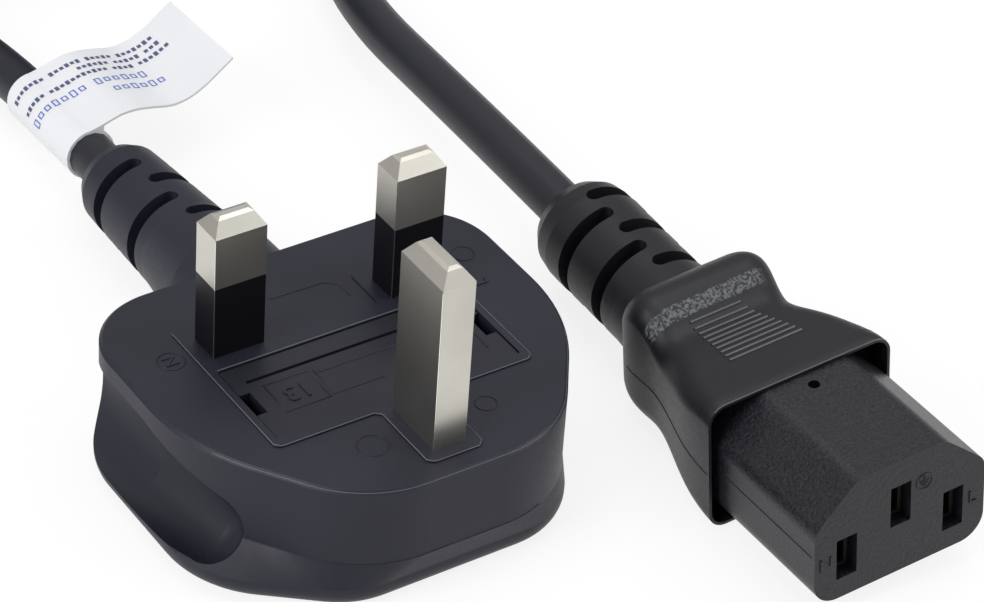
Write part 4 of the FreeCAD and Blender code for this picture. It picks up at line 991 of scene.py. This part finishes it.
def make_grip_ribs():
    """Fine ribs across the connector's waist, lighter than the overmould as a painted highlight.
    """
    top = top_of("connector_body")
    lines = []
    for rib in range(RIB_COUNT):
        share = rib / (RIB_COUNT - 1)
        half = mix(RIB_HALF_FRONT, RIB_HALF_BACK, share)
        middle = mix(RIB_MIDDLE_FRONT, RIB_MIDDLE_BACK, share)
        y = mix(RIBS_START, RIBS_END, share)
        lines.append([top(middle + mix(-half, half, i / RIB_STEPS), y)
                      for i in range(RIB_STEPS + 1)])
    return [line_piece("grip_ribs", lines, RIB_WIDTH, "rib")]


def make_hood_edge():
    """Painted highlight: a light bead along the top of the hood's edge."""
    top = top_of("connector_body")
    hits = [top(mix(*HOOD_SIDES, i / HOOD_STEPS), HOOD_FRONT) for i in range(HOOD_STEPS + 1)]
    return [line_piece("hood_edge", [hits], HOOD_EDGE, "rib")]


def make_hood_corners():
    """Thin skins over the hood's two upper corners, where the hollow's end comes through."""
    spot = surface_of("connector_body")
    middle, reach, height = HOOD_CORNER
    row = CORNER_ROWS + 1
    faces = [(k, k + 1, k + row + 1, k + row)
             for j in range(CORNER_STEPS) for k in range(j * row, j * row + CORNER_ROWS)]
    made = []
    for name, side in (("hood_corner_neutral", -1), ("hood_corner_line", 1)):
        points = []
        for j in range(CORNER_STEPS + 1):
            angle = math.radians(mix(*CORNER_ANGLES, j / CORNER_STEPS))
            way = connector_turn() @ Vector((side * math.cos(angle), 0, math.sin(angle)))
            ends = []
            for y in HOOD_CORNER_REACH:
                start = connector_point(middle + side * reach, y, height) + way * CORNER_OUTSIDE
                ends.append(spot(start, -way) + way * HOOD_SKIN)
            points += [ends[0].lerp(ends[1], i / CORNER_ROWS) for i in range(row)]
        made.append(mesh_piece(name, points, faces, "connector"))
    return made


def make_connector_parting():
    """Fine line along both sides of the connector."""
    turn = connector_turn()
    made = []
    for name, node_name, first, last in CONNECTOR_PARTINGS:
        spot = surface_of(node_name)
        lines = []
        for side in (-1, 1):
            way = turn @ Vector((-side, 0, 0))
            reaches = [mix(first, last, i / CONNECTOR_PARTING_STEPS)
                       for i in range(CONNECTOR_PARTING_STEPS + 1)]
            hits = [spot(connector_point(side * BESIDE, y, CONNECTOR_PARTING), way)
                    for y in reaches]
            lines.append([hit for hit in hits if hit])
        made.append(line_piece(name, lines, CONNECTOR_PARTING_WIDTH, "connector"))
    return made


def make_connector_marks():
    """Pole letters and the earth sign on the connector's face, and a near-black disc on its top as
    painted shade in the pit.
    """
    turn = connector_turn()
    made = []
    across = turn @ Vector((1, 0, 0))
    above = turn @ Vector((0, 0, 1))
    for name, words, x, z in CONNECTOR_LETTERS:
        made.append(text_piece(name, words, connector_point(x, -FACE_LIFT, z),
                               CONNECTOR_LETTER_HEIGHT, across, above, "insert",
                               rise=CONNECTOR_LETTER_RISE))
    middle, height = EARTH_SIGN
    sign = [[connector_point(middle + x, -FACE_LIFT, height + z) for x, z in row]
            for row in EARTH_SIGN_LINES]
    made.append(line_piece("connector_earth_sign", sign, EARTH_SIGN_WIDTH, "insert"))
    circle = [connector_point(x, -FACE_LIFT, z) for x, z, _ in ring(middle, height, 0, EARTH_RING)]
    made.append(line_piece("connector_earth_ring", [circle], EARTH_RING_WIDTH, "insert",
                           closed=True))
    # Painted shade: a flat near-black disc just above the pit.
    top = top_of("connector_insert")
    pit = [top(x, y) + above * PIT_LIFT for x, y, _ in ring(*PIT_PLACE, 0, PIT_RADIUS)]
    made.append(mesh_piece("pit", pit, [tuple(range(len(pit)))], "pit_shade"))
    return made


finish_nodes()
make_camera()
make_world()
make_floor()
make_lights()
on_cord = make_label() + [NODES[name] for name in sorted(NODES)
                          if name.startswith("connector_")]
on_cord += make_grip_ribs() + make_hood_edge() + make_hood_corners()
on_cord += make_connector_parting() + make_connector_marks()
make_cord()
make_plug_marks()
make_painted_highlight_edges()
make_plug_parting()
bpy.context.scene.view_settings.view_transform = "Standard"

bpy.context.view_layer.update()
